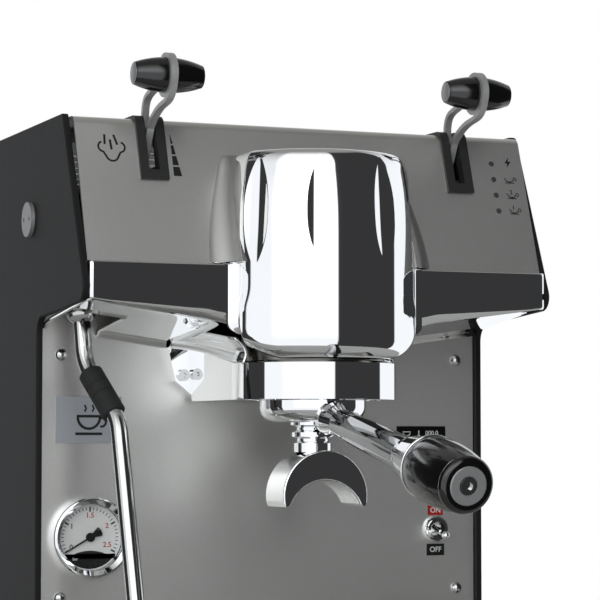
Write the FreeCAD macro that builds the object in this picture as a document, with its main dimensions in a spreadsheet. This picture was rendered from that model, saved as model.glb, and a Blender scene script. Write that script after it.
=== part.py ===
# Compact single-group espresso machine, as an assembly of separate pieces.
# Machine coordinates: X = 0 is the mid-plane (+X to the right of someone facing the machine),
# Y = 0 is the bottom line of the sloping fascia (+Y towards the back), Z = 0 is the worktop.
# Every piece is modelled there, and its Placement shifts it by frame_shift, which centres the
# machine's box on Y = 0.
import FreeCAD, Part
import Sketcher
import math
import os
from FreeCAD import Placement, Rotation, Vector

doc = FreeCAD.newDocument("espresso_machine")

# ---------------------------------------------------------------- driving sizes (mm, degrees)
SIZES = (
    ("width", 280.0, "over both side panels"),
    ("casing_height", 392.0, "top edge of the side panels"),
    ("casing_back", 385.0, "back edge of the side panels"),
    ("casing_foot", 14.0, "bottom edge of the casing, standing on its feet"),
    ("panel_thick", 3.5, "side panel"),
    ("sheet_thick", 1.5, "steel sheet of fascia, front, top and back"),
    ("sheet_gap", 0.4, "between a sheet's end and the side panel"),
    ("sheet_inset", 2.0, "casing top below the side panels' top edge"),
    ("fascia_lean", 27.0, "how far the fascia's top line lies behind its bottom line"),
    ("fascia_foot", 308.7, "height of the fascia's bottom line"),
    ("bend_radius", 6.0, "outside bend of the fascia over the top"),
    ("front_y", 87.0, "face of the lower front panel"),
    ("cheek_proud", 4.0, "side panels' vertical front edge before the front panel"),
    ("nose_y", -9.0, "foremost corner of the side panels' upper part"),
    ("nose_drop", 21.1, "same corner below the fascia's bottom line"),
    ("throat_drop", 27.2, "where the side panels' underside meets their vertical edge"),
    ("jaw_y", -62.0, "front of the base"),
    ("jaw_rise", 8.0, "top of the side panels above the drip tray"),
    ("group_y", 14.0, "axis of the brewing group"),
    ("cover_radius", 53.5, "chromed group cover at mid-height"),
    ("cover_drop", 19.0, "flat top of the group cover below the casing top"),
    ("cover_gap", 1.5, "bottom rim of the group cover above the collar"),
    ("cover_wall", 2.2, "wall of the group cover"),
    ("fairing_wall", 2.4, "wall of the chromed fairing"),
    ("lip_side_drop", 21.7, "fairing's lip below the fascia, at the side panels"),
    ("lip_middle_drop", 33.2, "fairing's lip below the fascia, beside the group"),
    ("lip_reach", 12.5, "fairing's deep middle, out from the group cover"),
    ("collar_radius", 46.5, "group collar"),
    ("collar_foot", 235.0, "bottom of the collar and of the group arm"),
    ("collar_top", 255.0, "top of the collar"),
    ("ring_radius", 38.9, "outside of the bayonet ring"),
    ("fit_gap", 0.4, "free space round pieces that move or drop in"),
    ("press_gap", 0.05, "free space round pieces that are pushed home"),
    ("cup_radius", 29.8, "outside of the portafilter cup"),
    ("rim_radius", 33.6, "portafilter rim"),
    ("rim_rise", 12.8, "top of the portafilter rim above the collar's foot"),
    ("cup_drop", 12.5, "bottom of the portafilter cup below the collar"),
    ("basket_radius", 27.5, "outside of the filter basket"),
    ("nut_height", 15.5, "spout nut, from the spout's crown to the cup"),
    ("spout_height", 31.0, "double spout, from crown to tips"),
    ("spout_half", 25.0, "half-width of the double spout"),
    ("handle_sink", 4.8, "handle's axis below the collar, at the group's axis"),
    ("handle_drop", 11.5, "degrees that the handle falls towards its end"),
    ("handle_reach", 199.0, "from the group's axis to the handle's end"),
    ("flare_start", 128.0, "where the handle's neck widens, along the handle"),
    ("grip_start", 157.0, "where the grip begins, along the handle"),
    ("grip_radius", 17.0, "thickest part of the grip"),
    ("lever_inset", 43.0, "levers, in from the fascia's ends"),
    ("strap_width", 4.0, "lever strap"),
    ("strap_thick", 2.4, "lever strap"),
    ("slot_width", 6.0, "slot in the lever bezel"),
    ("bezel_width", 16.4, "lever bezel"),
    ("bezel_drop", 34.5, "bottom of the lever bezel below the casing top"),
    ("slot_drop", 29.2, "bottom of the lever slot below the casing top"),
    ("slot_run", 25.0, "lever slot on the casing top, back from the fascia's top line"),
    ("pivot_back", 18.0, "levers' hinge axis behind the fascia's top line"),
    ("pivot_drop", 34.0, "levers' hinge axis below the casing top"),
    ("pin_radius", 3.0, "levers' hinge pin"),
    ("knob_forward", 32.8, "lever knob's axis before the fascia's top line, at rest"),
    ("knob_rise", 19.8, "lever knob's axis above the casing top, at rest"),
    ("knob_radius", 9.7, "lever knob's middle"),
    ("knob_end", 6.4, "lever knob's ends"),
    ("knob_length", 39.0, "lever knob"),
    ("screw_inset", 11.7, "front panel screws, in from the panel's ends"),
    ("screw_low", 123.5, "front panel screws"),
    ("screw_drop", 47.7, "upper front panel screws below the fascia's bottom line"),
    ("screw_head", 3.4, "radius of a panel screw's head"),
    ("screw_shank", 2.0, "radius of a panel screw's shank"),
    ("gauge_inset", 29.4, "boiler gauge, in from the panel's left end"),
    ("gauge_height", 157.5, "boiler gauge"),
    ("gauge_radius", 23.0, "boiler gauge's bezel"),
    ("gauge_depth", 24.0, "boiler gauge's case behind the panel"),
    ("display_inset", 35.1, "display window, in from the panel's right end"),
    ("display_height", 210.0, "display window"),
    ("display_width", 32.4, "display window"),
    ("display_tall", 22.0, "display window"),
    ("switch_inset", 25.5, "mains switch, in from the panel's right end"),
    ("switch_height", 159.3, "mains switch"),
    ("switch_radius", 6.0, "mains switch's threaded bush"),
    ("lamp_inset", 19.9, "row of four status lamps, in from the fascia's right end"),
    ("lamp_drop", 16.4, "uppermost status lamp below the casing top"),
    ("lamp_pitch", 9.45, "height between status lamps"),
    ("lamp_radius", 1.6, "status lamp"),
    ("wand_inset", 15.1, "steam wand's ball, in from the fairing's left end"),
    ("wand_forward", 27.0, "steam wand's ball before the front panel"),
    ("wand_drop", 23.7, "steam wand's ball below the fascia's bottom line"),
    ("ball_radius", 8.5, "steam wand's ball"),
    ("tube_radius", 4.8, "steam wand's tube"),
    ("tray_sink", 4.0, "front wall of the drip tray behind the base's front"),
    ("tray_top", 88.0, "rim of the drip tray"),
    ("tray_wall", 2.0, "drip tray's walls"),
    ("grille_thick", 3.0, "drip grille"),
    ("foot_radius", 18.0, "rubber feet"),
    ("disc_radius", 10.0, "side fixing discs"),
    ("disc_drop", 53.5, "side fixing discs below the panels' top edge"),
)
sheet = doc.addObject("Spreadsheet::Sheet", "Sizes")
for row, (alias, value, note) in enumerate(SIZES, start=1):
    sheet.set(f"A{row}", note)
    sheet.set(f"B{row}", str(value))
    sheet.setAlias(f"B{row}", alias)
doc.recompute()


class Size:
    """A length that knows both its number and its formula in the sheet."""

    def __init__(self, number, formula):
        self.number, self.formula = float(number), formula

    def __float__(self):
        return self.number

    def joined(self, other, sign, number):
        return Size(number, f"({self.formula} {sign} {as_size(other).formula})")

    def __add__(self, other):
        return self.joined(other, "+", self.number + float(other))

    def __sub__(self, other):
        return self.joined(other, "-", self.number - float(other))

    def __mul__(self, other):
        return self.joined(other, "*", self.number * float(other))

    def __truediv__(self, other):
        return self.joined(other, "/", self.number / float(other))

    def __radd__(self, other):
        return as_size(other) + self

    def __rsub__(self, other):
        return as_size(other) - self

    def __rmul__(self, other):
        return as_size(other) * self

    def __neg__(self):
        return Size(-self.number, f"(0 - {self.formula})")


def as_size(value):
    """A plain number as a Size; a Size stays as it is."""
    if isinstance(value, Size):
        return value
    return Size(value, f"{float(value):.6f}" if value >= 0 else f"(0 - {-float(value):.6f})")


class Sheet:
    """The sheet's aliases as Sizes, one attribute each."""


S = Sheet()
for alias, value, note in SIZES:
    setattr(S, alias, Size(sheet.get(alias), f"Sizes.{alias}"))

# ---------------------------------------------------------------- helpers
NODES = []                       # the finished pieces
AXES = {"X": Rotation(Vector(0, 1, 0), 90), "Y": Rotation(Vector(1, 0, 0), -90), "Z": Rotation()}
CORNERS = {}                     # where each primitive was put, before frame_shift


def bind(thing, prop, size):
    """Tie a property to the sheet."""
    thing.setExpression(prop, as_size(size).formula)


def place(thing, x, y, z, rotation=None):
    """Put a primitive at a point, turned if asked."""
    thing.Placement = Placement(Vector(float(x), float(y), float(z)), rotation or Rotation())
    for letter, size in zip("xyz", (x, y, z)):
        bind(thing, f"Placement.Base.{letter}", size)
    CORNERS[thing.Name] = as_size(y)
    return thing


def box(x, y, z):
    """A block between three pairs of limits."""
    thing = doc.addObject("Part::Box", "Block")
    for prop, (low, high) in zip(("Length", "Width", "Height"), (x, y, z)):
        setattr(thing, prop, float(high) - float(low))
        bind(thing, prop, high - as_size(low))
    return place(thing, x[0], y[0], z[0])


def rod(radius, length, x, y, z, axis="Z", rotation=None):
    """A round bar that starts at a point and runs along +X, +Y or +Z, or along its turned Z."""
    thing = doc.addObject("Part::Cylinder", "Rod")
    for prop, size in (("Radius", radius), ("Height", length)):
        setattr(thing, prop, float(size))
        bind(thing, prop, size)
    return place(thing, x, y, z, rotation or AXES[axis])


def cut(base, *tools):
    """The base without the tools."""
    result = doc.addObject("Part::Cut", "Cut")
    result.Base = base
    result.Tool = tools[0] if len(tools) == 1 else group(tools)
    return result


def common(base, tool):
    """What two solids share."""
    result = doc.addObject("Part::Common", "Common")
    result.Base, result.Tool = base, tool
    return result


def fuse(*things):
    """Several solids as one."""
    result = doc.addObject("Part::MultiFuse", "Fuse")
    result.Shapes = list(things)
    return result


def group(things):
    """Several separate solids as one piece of the list."""
    result = doc.addObject("Part::Compound", "Group")
    result.Links = list(things)
    return result


def shaped(shape):
    """A piece whose form no primitive or sketch gives."""
    result = doc.addObject("Part::Feature", "Shaped")
    result.Shape = shape
    return result


def node(label, thing):
    """Name a finished piece and shift it into the centred frame."""
    thing.Label = label
    base_y = CORNERS.get(thing.Name, as_size(thing.Placement.Base.y))
    bind(thing, "Placement.Base.y", base_y + frame_shift)
    NODES.append(thing)
    return thing


def point(pair):
    return Vector(float(pair[0]), float(pair[1]), 0)


def outline(sketch, corners):
    """Draw a closed outline. A corner is a pair of sizes; a corner of four sizes is reached by an
    arc through its second pair. Every corner and arc is fixed by sizes from the sheet."""
    count = len(corners)
    ends = []
    for index, corner in enumerate(corners):
        start, goal = corners[index], corners[(index + 1) % count]
        if len(goal) == 4:
            first, middle, last = point(start), point(goal[2:]), point(goal)
            geo = sketch.addGeometry(Part.Arc(first, middle, last), False)
            leftward = (middle - first).cross(last - first).z > 0
            ends.append((geo, 1, 2) if leftward else (geo, 2, 1))
        else:
            geo = sketch.addGeometry(Part.LineSegment(point(start), point(goal)), False)
            ends.append((geo, 1, 2))
    for index, (geo, first, last) in enumerate(ends):
        following = ends[(index + 1) % count]
        sketch.addConstraint(Sketcher.Constraint("Coincident", geo, last, following[0], following[1]))
    for corner, (geo, first, last) in zip(corners, ends):
        locate(sketch, geo, first, corner)
    for index, (geo, first, last) in enumerate(ends):
        goal = corners[(index + 1) % count]
        if len(goal) == 4 and float(goal[0]) == 0:      # a cap on the axis has its centre there
            sketch.addConstraint(Sketcher.Constraint("PointOnObject", geo, 3, -2))
        elif len(goal) == 4:
            dot = sketch.addGeometry(Part.Point(point(goal[2:])), True)
            sketch.addConstraint(Sketcher.Constraint("PointOnObject", dot, 1, geo))
            locate(sketch, dot, 1, goal[2:])


def locate(sketch, geo, end, pair):
    """Fix one sketch point by its distances from the sketch's origin."""
    for kind, size in (("DistanceX", pair[0]), ("DistanceY", pair[1])):
        number = sketch.addConstraint(Sketcher.Constraint(kind, -1, 1, geo, end, float(size)))
        bind(sketch, f"Constraints[{number}]", size)


def sketch_on(body, plane, corners):
    """A sketch on one of the body's own origin planes."""
    sketch = body.newObject("Sketcher::SketchObject", "Outline")
    origin = next(item for item in body.Origin.OriginFeatures if item.Role == plane)
    sketch.AttachmentSupport = [(origin, "")]
    sketch.MapMode = "FlatFace"
    outline(sketch, corners)
    return sketch


def padded(corners, depth, plane="YZ_Plane"):
    """A body cut from plate: an outline given depth, both ways from its plane."""
    body = doc.addObject("PartDesign::Body", "Body")
    pad = body.newObject("PartDesign::Pad", "Pad")
    pad.Profile = sketch_on(body, plane, corners)
    pad.SideType = "Symmetric"
    pad.Length = float(depth)
    bind(pad, "Length", depth)
    return body


def turned(corners, placement=None):
    """A body turned on a lathe: half outline of (radius, height) spun about the body's Z."""
    body = doc.addObject("PartDesign::Body", "Body")
    spin = body.newObject("PartDesign::Revolution", "Revolution")
    sketch = sketch_on(body, "XZ_Plane", corners)
    spin.Profile = sketch
    spin.ReferenceAxis = (sketch, ["V_Axis"])
    spin.Angle = 360
    if placement:
        x, y, z, rotation = placement
        place(body, x, y, z, rotation)
    return body


def rounded(body, radius, wanted):
    """Round the edges of a body's tip that a test picks."""
    doc.recompute()
    tip = body.Tip
    picked = [f"Edge{i}" for i, edge in enumerate(tip.Shape.Edges, 1) if wanted(edge)]
    fillet = body.newObject("PartDesign::Fillet", "Fillet")
    fillet.Base = (tip, picked)
    fillet.Radius = float(radius)
    bind(fillet, "Radius", radius)
    return body


def along_x(*spots):
    """A test for edges that run along X through the given (y, z) spots."""
    def wanted(edge):
        low, high = edge.Vertexes[0].Point, edge.Vertexes[-1].Point
        if abs(high.x - low.x) < 1 or abs(high.y - low.y) + abs(high.z - low.z) > 0.01:
            return False
        return any(abs(low.y - float(y)) + abs(low.z - float(z)) < 0.05 for y, z in spots)
    return wanted



# ---------------------------------------------------------------- places that follow from the sizes
HANDLE_SCREW_PROUD = 2.2                         # the handle's end screw beyond its end
INLET_REACH = 20.0                               # the water inlet's stub behind the back panel
BASE_THICK = 5.6                                 # folded base frame
top_z = S.casing_height - S.sheet_inset          # outer face of the casing top
inner_half = S.width / 2 - S.panel_thick - S.sheet_gap
cheek_y = S.front_y - S.cheek_proud
nose_height = S.fascia_foot - S.nose_drop
throat_height = S.fascia_foot - S.throat_drop
jaw_height = S.tray_top + S.jaw_rise
base_top = S.casing_foot + BASE_THICK
cover_top = top_z - S.cover_drop
cover_foot = S.collar_top + S.cover_gap
lip_break = S.cover_radius + S.lip_reach
rim_height = S.collar_foot + S.rim_rise
cup_foot = S.collar_foot - S.cup_drop
spout_top = cup_foot - S.nut_height
spout_foot = spout_top - S.spout_height
handle_height = S.collar_foot - S.handle_sink
lever_x = inner_half - S.lever_inset
bezel_foot = top_z - S.bezel_drop
slot_foot = top_z - S.slot_drop
slot_back = S.fascia_lean + S.slot_run
pivot_y = S.fascia_lean + S.pivot_back
pivot_height = top_z - S.pivot_drop
knob_y = S.fascia_lean - S.knob_forward
knob_height = top_z + S.knob_rise
screw_x = inner_half - S.screw_inset
screw_high = S.fascia_foot - S.screw_drop
gauge_x = -inner_half + S.gauge_inset
display_x = inner_half - S.display_inset
switch_x = inner_half - S.switch_inset
lamp_x = inner_half - S.lamp_inset
lamp_top = top_z - S.lamp_drop
wand_x = -inner_half + S.wand_inset
wand_y = S.front_y - S.wand_forward
wand_height = S.fascia_foot - S.wand_drop
tray_front = S.jaw_y + S.tray_sink
disc_height = S.casing_height - S.disc_drop
slope = S.fascia_lean / (top_z - S.fascia_foot)
lean_angle = math.degrees(math.atan(float(slope)))
slant = math.sqrt(1 + float(slope) ** 2)         # slope length per unit of height
fall = math.radians(float(S.handle_drop))
handle_tip = S.group_y - S.handle_reach * math.cos(fall) - HANDLE_SCREW_PROUD
frame_shift = -(S.casing_back + INLET_REACH + handle_tip) / 2


def fascia_y(height, proud=0.0):
    """Where the fascia's face lies at a height, or a face that stands proud of it."""
    return slope * (height - S.fascia_foot) - as_size(proud) * slant


def square_out(height, out):
    """The (y, z) of a point that far in front of the fascia's face, square to it at a height."""
    return fascia_y(height) - out / slant, height + out * float(slope) / slant


def dome(radius, rise, base):
    """The last corner of a turned outline that closes with a spherical cap on the axis."""
    radius, rise, base = float(radius), float(rise), float(base)
    ball = (radius ** 2 + rise ** 2) / (2 * rise)
    halfway = radius * 0.6
    return 0, base + rise, halfway, base + rise - ball + math.sqrt(ball ** 2 - halfway ** 2)


# The turn that takes +Z to the direction into the fascia, square to its face.
into_fascia = Rotation(Vector(1, 0, 0), -90 - lean_angle)

# ---------------------------------------------------------------- casing
# Side panels: flat plates with a jaw round the cup space, open to the front.
panel_outline = (
    (S.nose_y + 0.43 * (S.casing_height - nose_height) - 0.5, S.casing_height),
    (S.nose_y, nose_height),
    (cheek_y, throat_height),
    (cheek_y, jaw_height + 4),
    (S.jaw_y, jaw_height),
    (S.jaw_y, S.casing_foot),
    (S.casing_back, S.casing_foot),
    (S.casing_back, S.casing_height),
)
CORNER_RADII = (3.5, 8, 10, 10, 8, 6, 6, 10)
for label, side in (("side_panel_left", -1), ("side_panel_right", 1)):
    panel = padded(panel_outline, S.panel_thick)
    for spot, radius in zip(panel_outline, CORNER_RADII):
        rounded(panel, radius, along_x(spot))
    doc.recompute()
    faces = [face for face in panel.Tip.Shape.Faces if face.normalAt(0, 0).x * side > 0.99]
    rim = [edge.hashCode() for edge in faces[0].Edges]
    rounded(panel, 0.9, lambda edge: edge.hashCode() in rim)
    bind(panel, "Placement.Base.x", side * (S.width - S.panel_thick) / 2)
    node(label, panel)

# Side fixing discs: two-hole discs that hold each side panel, front and back.
discs = []
for side in (-1, 1):
    for disc_y in (98.0, S.casing_back - 60):
        disc = rod(S.disc_radius, 2.2, side * S.width / 2 - (2.2 if side < 0 else 0), disc_y,
                   disc_height, "X")
        holes = [rod(1.3, 1.6, side * S.width / 2 + (-2.2 if side < 0 else 0.6), disc_y + step,
                     disc_height, "X") for step in (-5.5, 5.5)]
        discs.append(cut(disc, *holes))
node("side_discs", group(discs))

# Fascia: one sheet, sloping forwards at the front and bent back over the top.
fascia_outline = (
    (slot_back + 12, top_z), (S.fascia_lean, top_z), (0, S.fascia_foot), (12, S.fascia_foot),
    (12, S.fascia_foot + S.sheet_thick),
    (fascia_y(S.fascia_foot + S.sheet_thick, -1 * S.sheet_thick), S.fascia_foot + S.sheet_thick),
    (fascia_y(top_z - S.sheet_thick, -1 * S.sheet_thick), top_z - S.sheet_thick),
    (slot_back + 12, top_z - S.sheet_thick),
)
fascia = padded(fascia_outline, 2 * inner_half)
rounded(fascia, S.bend_radius, along_x(fascia_outline[1]))
rounded(fascia, S.bend_radius - S.sheet_thick, along_x(fascia_outline[6]))
liner_half = S.slot_width / 2 + 1.3
openings = [box((side * lever_x - liner_half - S.fit_gap, side * lever_x + liner_half + S.fit_gap),
                (-20, slot_back + 1.7), (slot_foot - 1.7, S.casing_height + 10)) for side in (-1, 1)]
openings.append(box((-44, 44), (-20, 40), (S.fascia_foot - 5, cover_top - 8)))
lamp_heights = [lamp_top - S.lamp_pitch * step for step in range(4)]
for height in lamp_heights:
    openings.append(rod(S.lamp_radius + S.press_gap, 8, lamp_x, *square_out(height, 4),
                        rotation=into_fascia))
node("fascia", cut(fascia, *openings))

# Top cover: sheet behind the fascia's fold, with a window for the cup tray.
cover_y = (slot_back + 12 + S.sheet_gap, S.casing_back - S.sheet_thick - S.sheet_gap)
window_y = (slot_back + 30, S.casing_back - 20)
window_half = inner_half - 12
top_cover = box((-inner_half, inner_half), cover_y, (top_z - S.sheet_thick, top_z))
node("top_cover", cut(top_cover, box((-window_half, window_half), window_y, (top_z - 10, top_z + 10))))

# Cup tray: a pressed pan with drain slots that drops into the top cover's window.
pan_half = window_half - S.fit_gap
pan_y = (window_y[0] + S.fit_gap, window_y[1] - S.fit_gap)
flange = box((-pan_half - 6, pan_half + 6), (pan_y[0] - 6, pan_y[1] + 6), (top_z, top_z + 1.2))
pan = fuse(flange, box((-pan_half, pan_half), pan_y, (top_z - 8, top_z + 0.5)))
hollow = box((-pan_half + 1.5, pan_half - 1.5), (pan_y[0] + 1.5, pan_y[1] - 1.5),
             (top_z - 6.5, top_z + 5))
slots = [box((-pan_half + 22, pan_half - 22), (window_y[0] + 30 + 30 * row, window_y[0] + 35 + 30 * row),
             (top_z - 12, top_z)) for row in range(int(float(window_y[1] - window_y[0] - 45) // 30))]
node("cup_tray", cut(pan, hollow, *slots))

# Lower front panel: the upright sheet behind the cup space.
front_top = S.fascia_foot - S.sheet_gap
front_sheet = box((-inner_half, inner_half), (S.front_y, S.front_y + S.sheet_thick),
                  (S.casing_foot + 6, front_top))
screw_spots = [(side * screw_x, height) for side in (-1, 1) for height in (S.screw_low, screw_high)]
through = (S.front_y - 5, S.front_y + 10)
openings = [rod(S.screw_shank + S.press_gap, 15, x, S.front_y - 5, height, "Y")
            for x, height in screw_spots]
openings.append(rod(S.gauge_radius - 3 + S.fit_gap, 15, gauge_x, S.front_y - 5, S.gauge_height, "Y"))
openings.append(rod(S.switch_radius + S.fit_gap, 15, switch_x, S.front_y - 5, S.switch_height, "Y"))
openings.append(box((display_x - S.display_width / 2 + 3, display_x + S.display_width / 2 - 3), through,
                    (S.display_height - S.display_tall / 2 + 3, S.display_height + S.display_tall / 2 - 3)))
openings.append(box((-36, 36), through, (S.collar_foot + 6, S.collar_top + 10)))
node("front_panel", cut(front_sheet, *openings))

# Back panel: sheet with two rows of vents, the mains inlet's opening and the water inlet's hole.
back_face = S.casing_back                        # the back panel is flush with the side panels' edge
inlet_x, inlet_height = -inner_half + 66.1, as_size(60)
water_x, water_height = inner_half - 66.1, as_size(50)
back_sheet = box((-inner_half, inner_half), (back_face - S.sheet_thick, back_face),
                 (S.casing_foot + 6, top_z - S.sheet_thick - S.sheet_gap))
back_spots = [(side * (inner_half - 8), height) for side in (-1, 1)
              for height in (base_top + 14.4, top_z / 2 + 5, top_z - 24)]
openings = [rod(S.screw_shank + S.press_gap, 15, x, back_face - 10, height, "Y")
            for x, height in back_spots]
openings += [box((side * 60 - 35, side * 60 + 35), (back_face - 10, back_face + 5), (base, base + 5))
             for side in (-1, 1) for base in range(230, int(float(top_z)) - 50, 14)]
openings.append(box((inlet_x - 14, inlet_x + 14), (back_face - 10, back_face + 5),
                    (inlet_height - 10, inlet_height + 10)))
openings.append(rod(7 + S.press_gap, 15, water_x, back_face - 10, water_height, "Y"))
node("back_panel", cut(back_sheet, *openings))

# Panel screws: domed screws of the front and back panels, all alike.
def panel_screw(x, face_y, height, outwards):
    """A domed screw whose head stands on a sheet's face; outwards is -1 to the front."""
    turn = Rotation(Vector(1, 0, 0), -90 * outwards)
    profile = ((0, -6), (S.screw_shank, -6), (S.screw_shank, 0), (S.screw_head, 0), (S.screw_head, 0.6),
               dome(S.screw_head, 2, 0.6))
    return turned(profile, (x, face_y, height, turn))


screws = [panel_screw(x, S.front_y, height, -1) for x, height in screw_spots]
screws += [panel_screw(x, back_face, height, 1) for x, height in back_spots]
node("panel_screws", group(screws))

# Base frame: folded steel tray that carries the machine, open at the front for the drip tray.
base_y = (S.jaw_y + 8, S.casing_back - S.sheet_thick - S.sheet_gap)
node("base_frame", box((-inner_half, inner_half), base_y, (S.casing_foot, base_top)))

# Rubber feet: four turned cones under the base.
foot_profile = ((0, 0), (S.foot_radius - 3, 0), (S.foot_radius, S.casing_foot), (0, S.casing_foot))
feet = [turned(foot_profile, (side * (S.width / 2 - 32), y, 0, Rotation()))
        for side in (-1, 1) for y in (S.jaw_y + 40, S.casing_back - 36)]
node("feet", group(feet))

# Drip tray: deep pan that slides out between the side panels, with a finger lip at the front.
tray_half = S.width / 2 - S.panel_thick - 2 * S.fit_gap
tray_floor = base_top + S.fit_gap
tray_back = S.front_y - 2 * S.fit_gap
tray = box((-tray_half, tray_half), (tray_front, tray_back), (tray_floor, S.tray_top))
tray_lip = box((-tray_half, tray_half), (tray_front - 8, tray_front + 1), (S.tray_top - 22, S.tray_top))
finger = box((-tray_half + 40, tray_half - 40), (tray_front - 6, tray_front),
             (S.tray_top - 23, S.tray_top - 4))
inside = box((-tray_half + S.tray_wall, tray_half - S.tray_wall),
             (tray_front + S.tray_wall, tray_back - S.tray_wall),
             (tray_floor + S.tray_wall, S.tray_top + 5))
node("drip_tray", cut(fuse(tray, tray_lip), finger, inside))

# Drip grille: slotted plate that drops into the tray's rim, standing on two legs.
grille_half = tray_half - S.tray_wall - S.fit_gap
grille_y = (tray_front + S.tray_wall + S.fit_gap, tray_back - S.tray_wall - S.fit_gap)
plate = box((-grille_half, grille_half), grille_y, (S.tray_top - S.grille_thick, S.tray_top))
legs = [box((side * (grille_half - 4) - 1.5, side * (grille_half - 4) + 1.5), grille_y,
            (tray_floor + S.tray_wall + S.fit_gap, S.tray_top - 1)) for side in (-1, 1)]
slot_rows = [box((side * grille_half / 2 - 50, side * grille_half / 2 + 50),
                 (tray_front + 14 + 12 * row, tray_front + 20 + 12 * row),
                 (S.tray_top - 10, S.tray_top + 5))
             for side in (-1, 1) for row in range(int(float(tray_back - tray_front - 22) // 12))]
node("drip_grille", cut(fuse(plate, *legs), *slot_rows))

# ---------------------------------------------------------------- levers
# Bezels: moulded frames that line each lever's slot and fold over the top.
PROUD = 2.0
SINK = 5.0
bezel_outline = (
    (slot_back + 6, top_z + 0.05), (slot_back + 6, top_z + PROUD),
    (fascia_y(top_z + PROUD, PROUD), top_z + PROUD), (fascia_y(bezel_foot, PROUD), bezel_foot),
    (fascia_y(bezel_foot, 0.05), bezel_foot), (fascia_y(top_z + 0.05, 0.05), top_z + 0.05),
)
liner_outline = (
    (slot_back + 1.3, top_z - SINK), (slot_back + 1.3, top_z + 1), (fascia_y(top_z + 1, 1), top_z + 1),
    (fascia_y(slot_foot - 1.3, 1), slot_foot - 1.3),
    (fascia_y(slot_foot - 1.3, -1 * SINK), slot_foot - 1.3),
    (fascia_y(top_z - SINK, -1 * SINK), top_z - SINK),
)
for label, side in (("lever_bezel_left", -1), ("lever_bezel_right", 1)):
    frame = padded(bezel_outline, S.bezel_width)
    rounded(frame, 6.5, along_x(bezel_outline[2]))
    rounded(frame, S.bend_radius - 0.3, along_x(bezel_outline[5]))
    liner = padded(liner_outline, 2 * liner_half)
    slot = box((-S.slot_width / 2, S.slot_width / 2), (-30, slot_back), (slot_foot, S.casing_height + 10))
    bezel = cut(fuse(frame, liner), slot)
    bind(bezel, "Placement.Base.x", side * lever_x)
    node(label, bezel)

# Levers: a flat steel strap bent round the knob, both ends joined to an arm on the hinge.
def strap(points, x_centre):
    """A flat strap that follows a smooth line in the YZ plane."""
    line = Part.BSplineCurve()
    line.interpolate([Vector(0, y, z) for y, z in points])
    half = float(S.strap_thick) / 2
    sides = []
    for sign in (-1, 1):
        spots = []
        for step in range(13):
            at = line.FirstParameter + (line.LastParameter - line.FirstParameter) * step / 12
            along = line.tangent(at)[0]
            spots.append(line.value(at) + Vector(0, -along.z, along.y) * half * sign)
        edge = Part.BSplineCurve()
        edge.interpolate(spots)
        sides.append(edge.toShape())
    face = Part.makeRuledSurface(*sides)
    solid = face.extrude(Vector(float(S.strap_width), 0, 0))
    solid.translate(Vector(x_centre - float(S.strap_width) / 2, 0, 0))
    return solid


def flat_plate(points, x_centre, thick):
    """A plate of the given outline in the YZ plane."""
    near = x_centre - thick / 2
    wire = Part.makePolygon([Vector(near, float(y), float(z)) for y, z in points + points[:1]])
    return Part.Face(wire).extrude(Vector(thick, 0, 0))


def disc_x(radius, length, x_centre, y, z):
    """A disc whose axis runs along X."""
    return Part.makeCylinder(float(radius), float(length),
                             Vector(x_centre - float(length) / 2, float(y), float(z)), Vector(1, 0, 0))


def lever(x_centre):
    """The strap, its arm inside the casing and the hub on the hinge pin."""
    ky, kz = float(knob_y), float(knob_height)
    py, pz = float(pivot_y), float(pivot_height)
    ring_in = float(S.knob_radius) + float(S.press_gap)
    ring = disc_x(ring_in + float(S.strap_thick), S.strap_width, x_centre, ky, kz)
    front_leg = strap([(ky - 9.3, kz - 6.2), (ky - 3.5, kz - 12.6), (ky + 8.6, kz - 15.3),
                       (ky + 21, kz - 19.5), (ky + 30.5, kz - 26.5)], x_centre)
    rear_leg = strap([(ky + 10.6, kz + 2), (ky + 17, kz - 3), (ky + 26, kz - 5.5), (ky + 35.5, kz - 9.5),
                      (ky + 38, kz - 16.5), (ky + 34.5, kz - 25)], x_centre)
    arm = flat_plate([(ky + 28, kz - 25.6), (ky + 37, kz - 24), (py + 6, pz + 4), (py - 5, pz - 3)],
                     x_centre, float(S.strap_width))
    hub = disc_x(8, S.strap_width, x_centre, py, pz)
    pin_hole = disc_x(S.pin_radius + S.press_gap, 20, x_centre, py, pz)
    eye = disc_x(ring_in, 20, x_centre, ky, kz)
    return ring.fuse([front_leg, rear_leg, arm, hub]).cut([pin_hole, eye]).removeSplitter()


knob_profile = (
    (0, -S.knob_length / 2), (S.knob_end - 0.8, -S.knob_length / 2),
    (S.knob_end, -S.knob_length / 2 + 0.8, S.knob_end - 0.23, -S.knob_length / 2 + 0.23),
    (S.knob_radius, -2.2, S.knob_end + 2.15, -S.knob_length / 4 - 1.4), (S.knob_radius, 2.2),
    (S.knob_end, S.knob_length / 2 - 0.8, S.knob_end + 2.15, S.knob_length / 4 + 1.4),
    (S.knob_end - 0.8, S.knob_length / 2, S.knob_end - 0.23, S.knob_length / 2 - 0.23),
    (0, S.knob_length / 2),
)
for name, side in (("steam_lever", -1), ("brew_lever", 1)):
    node(name, shaped(lever(side * float(lever_x))))
    node(f"{name}_knob", turned(knob_profile, (side * lever_x, knob_y, knob_height, AXES["X"])))

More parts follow.
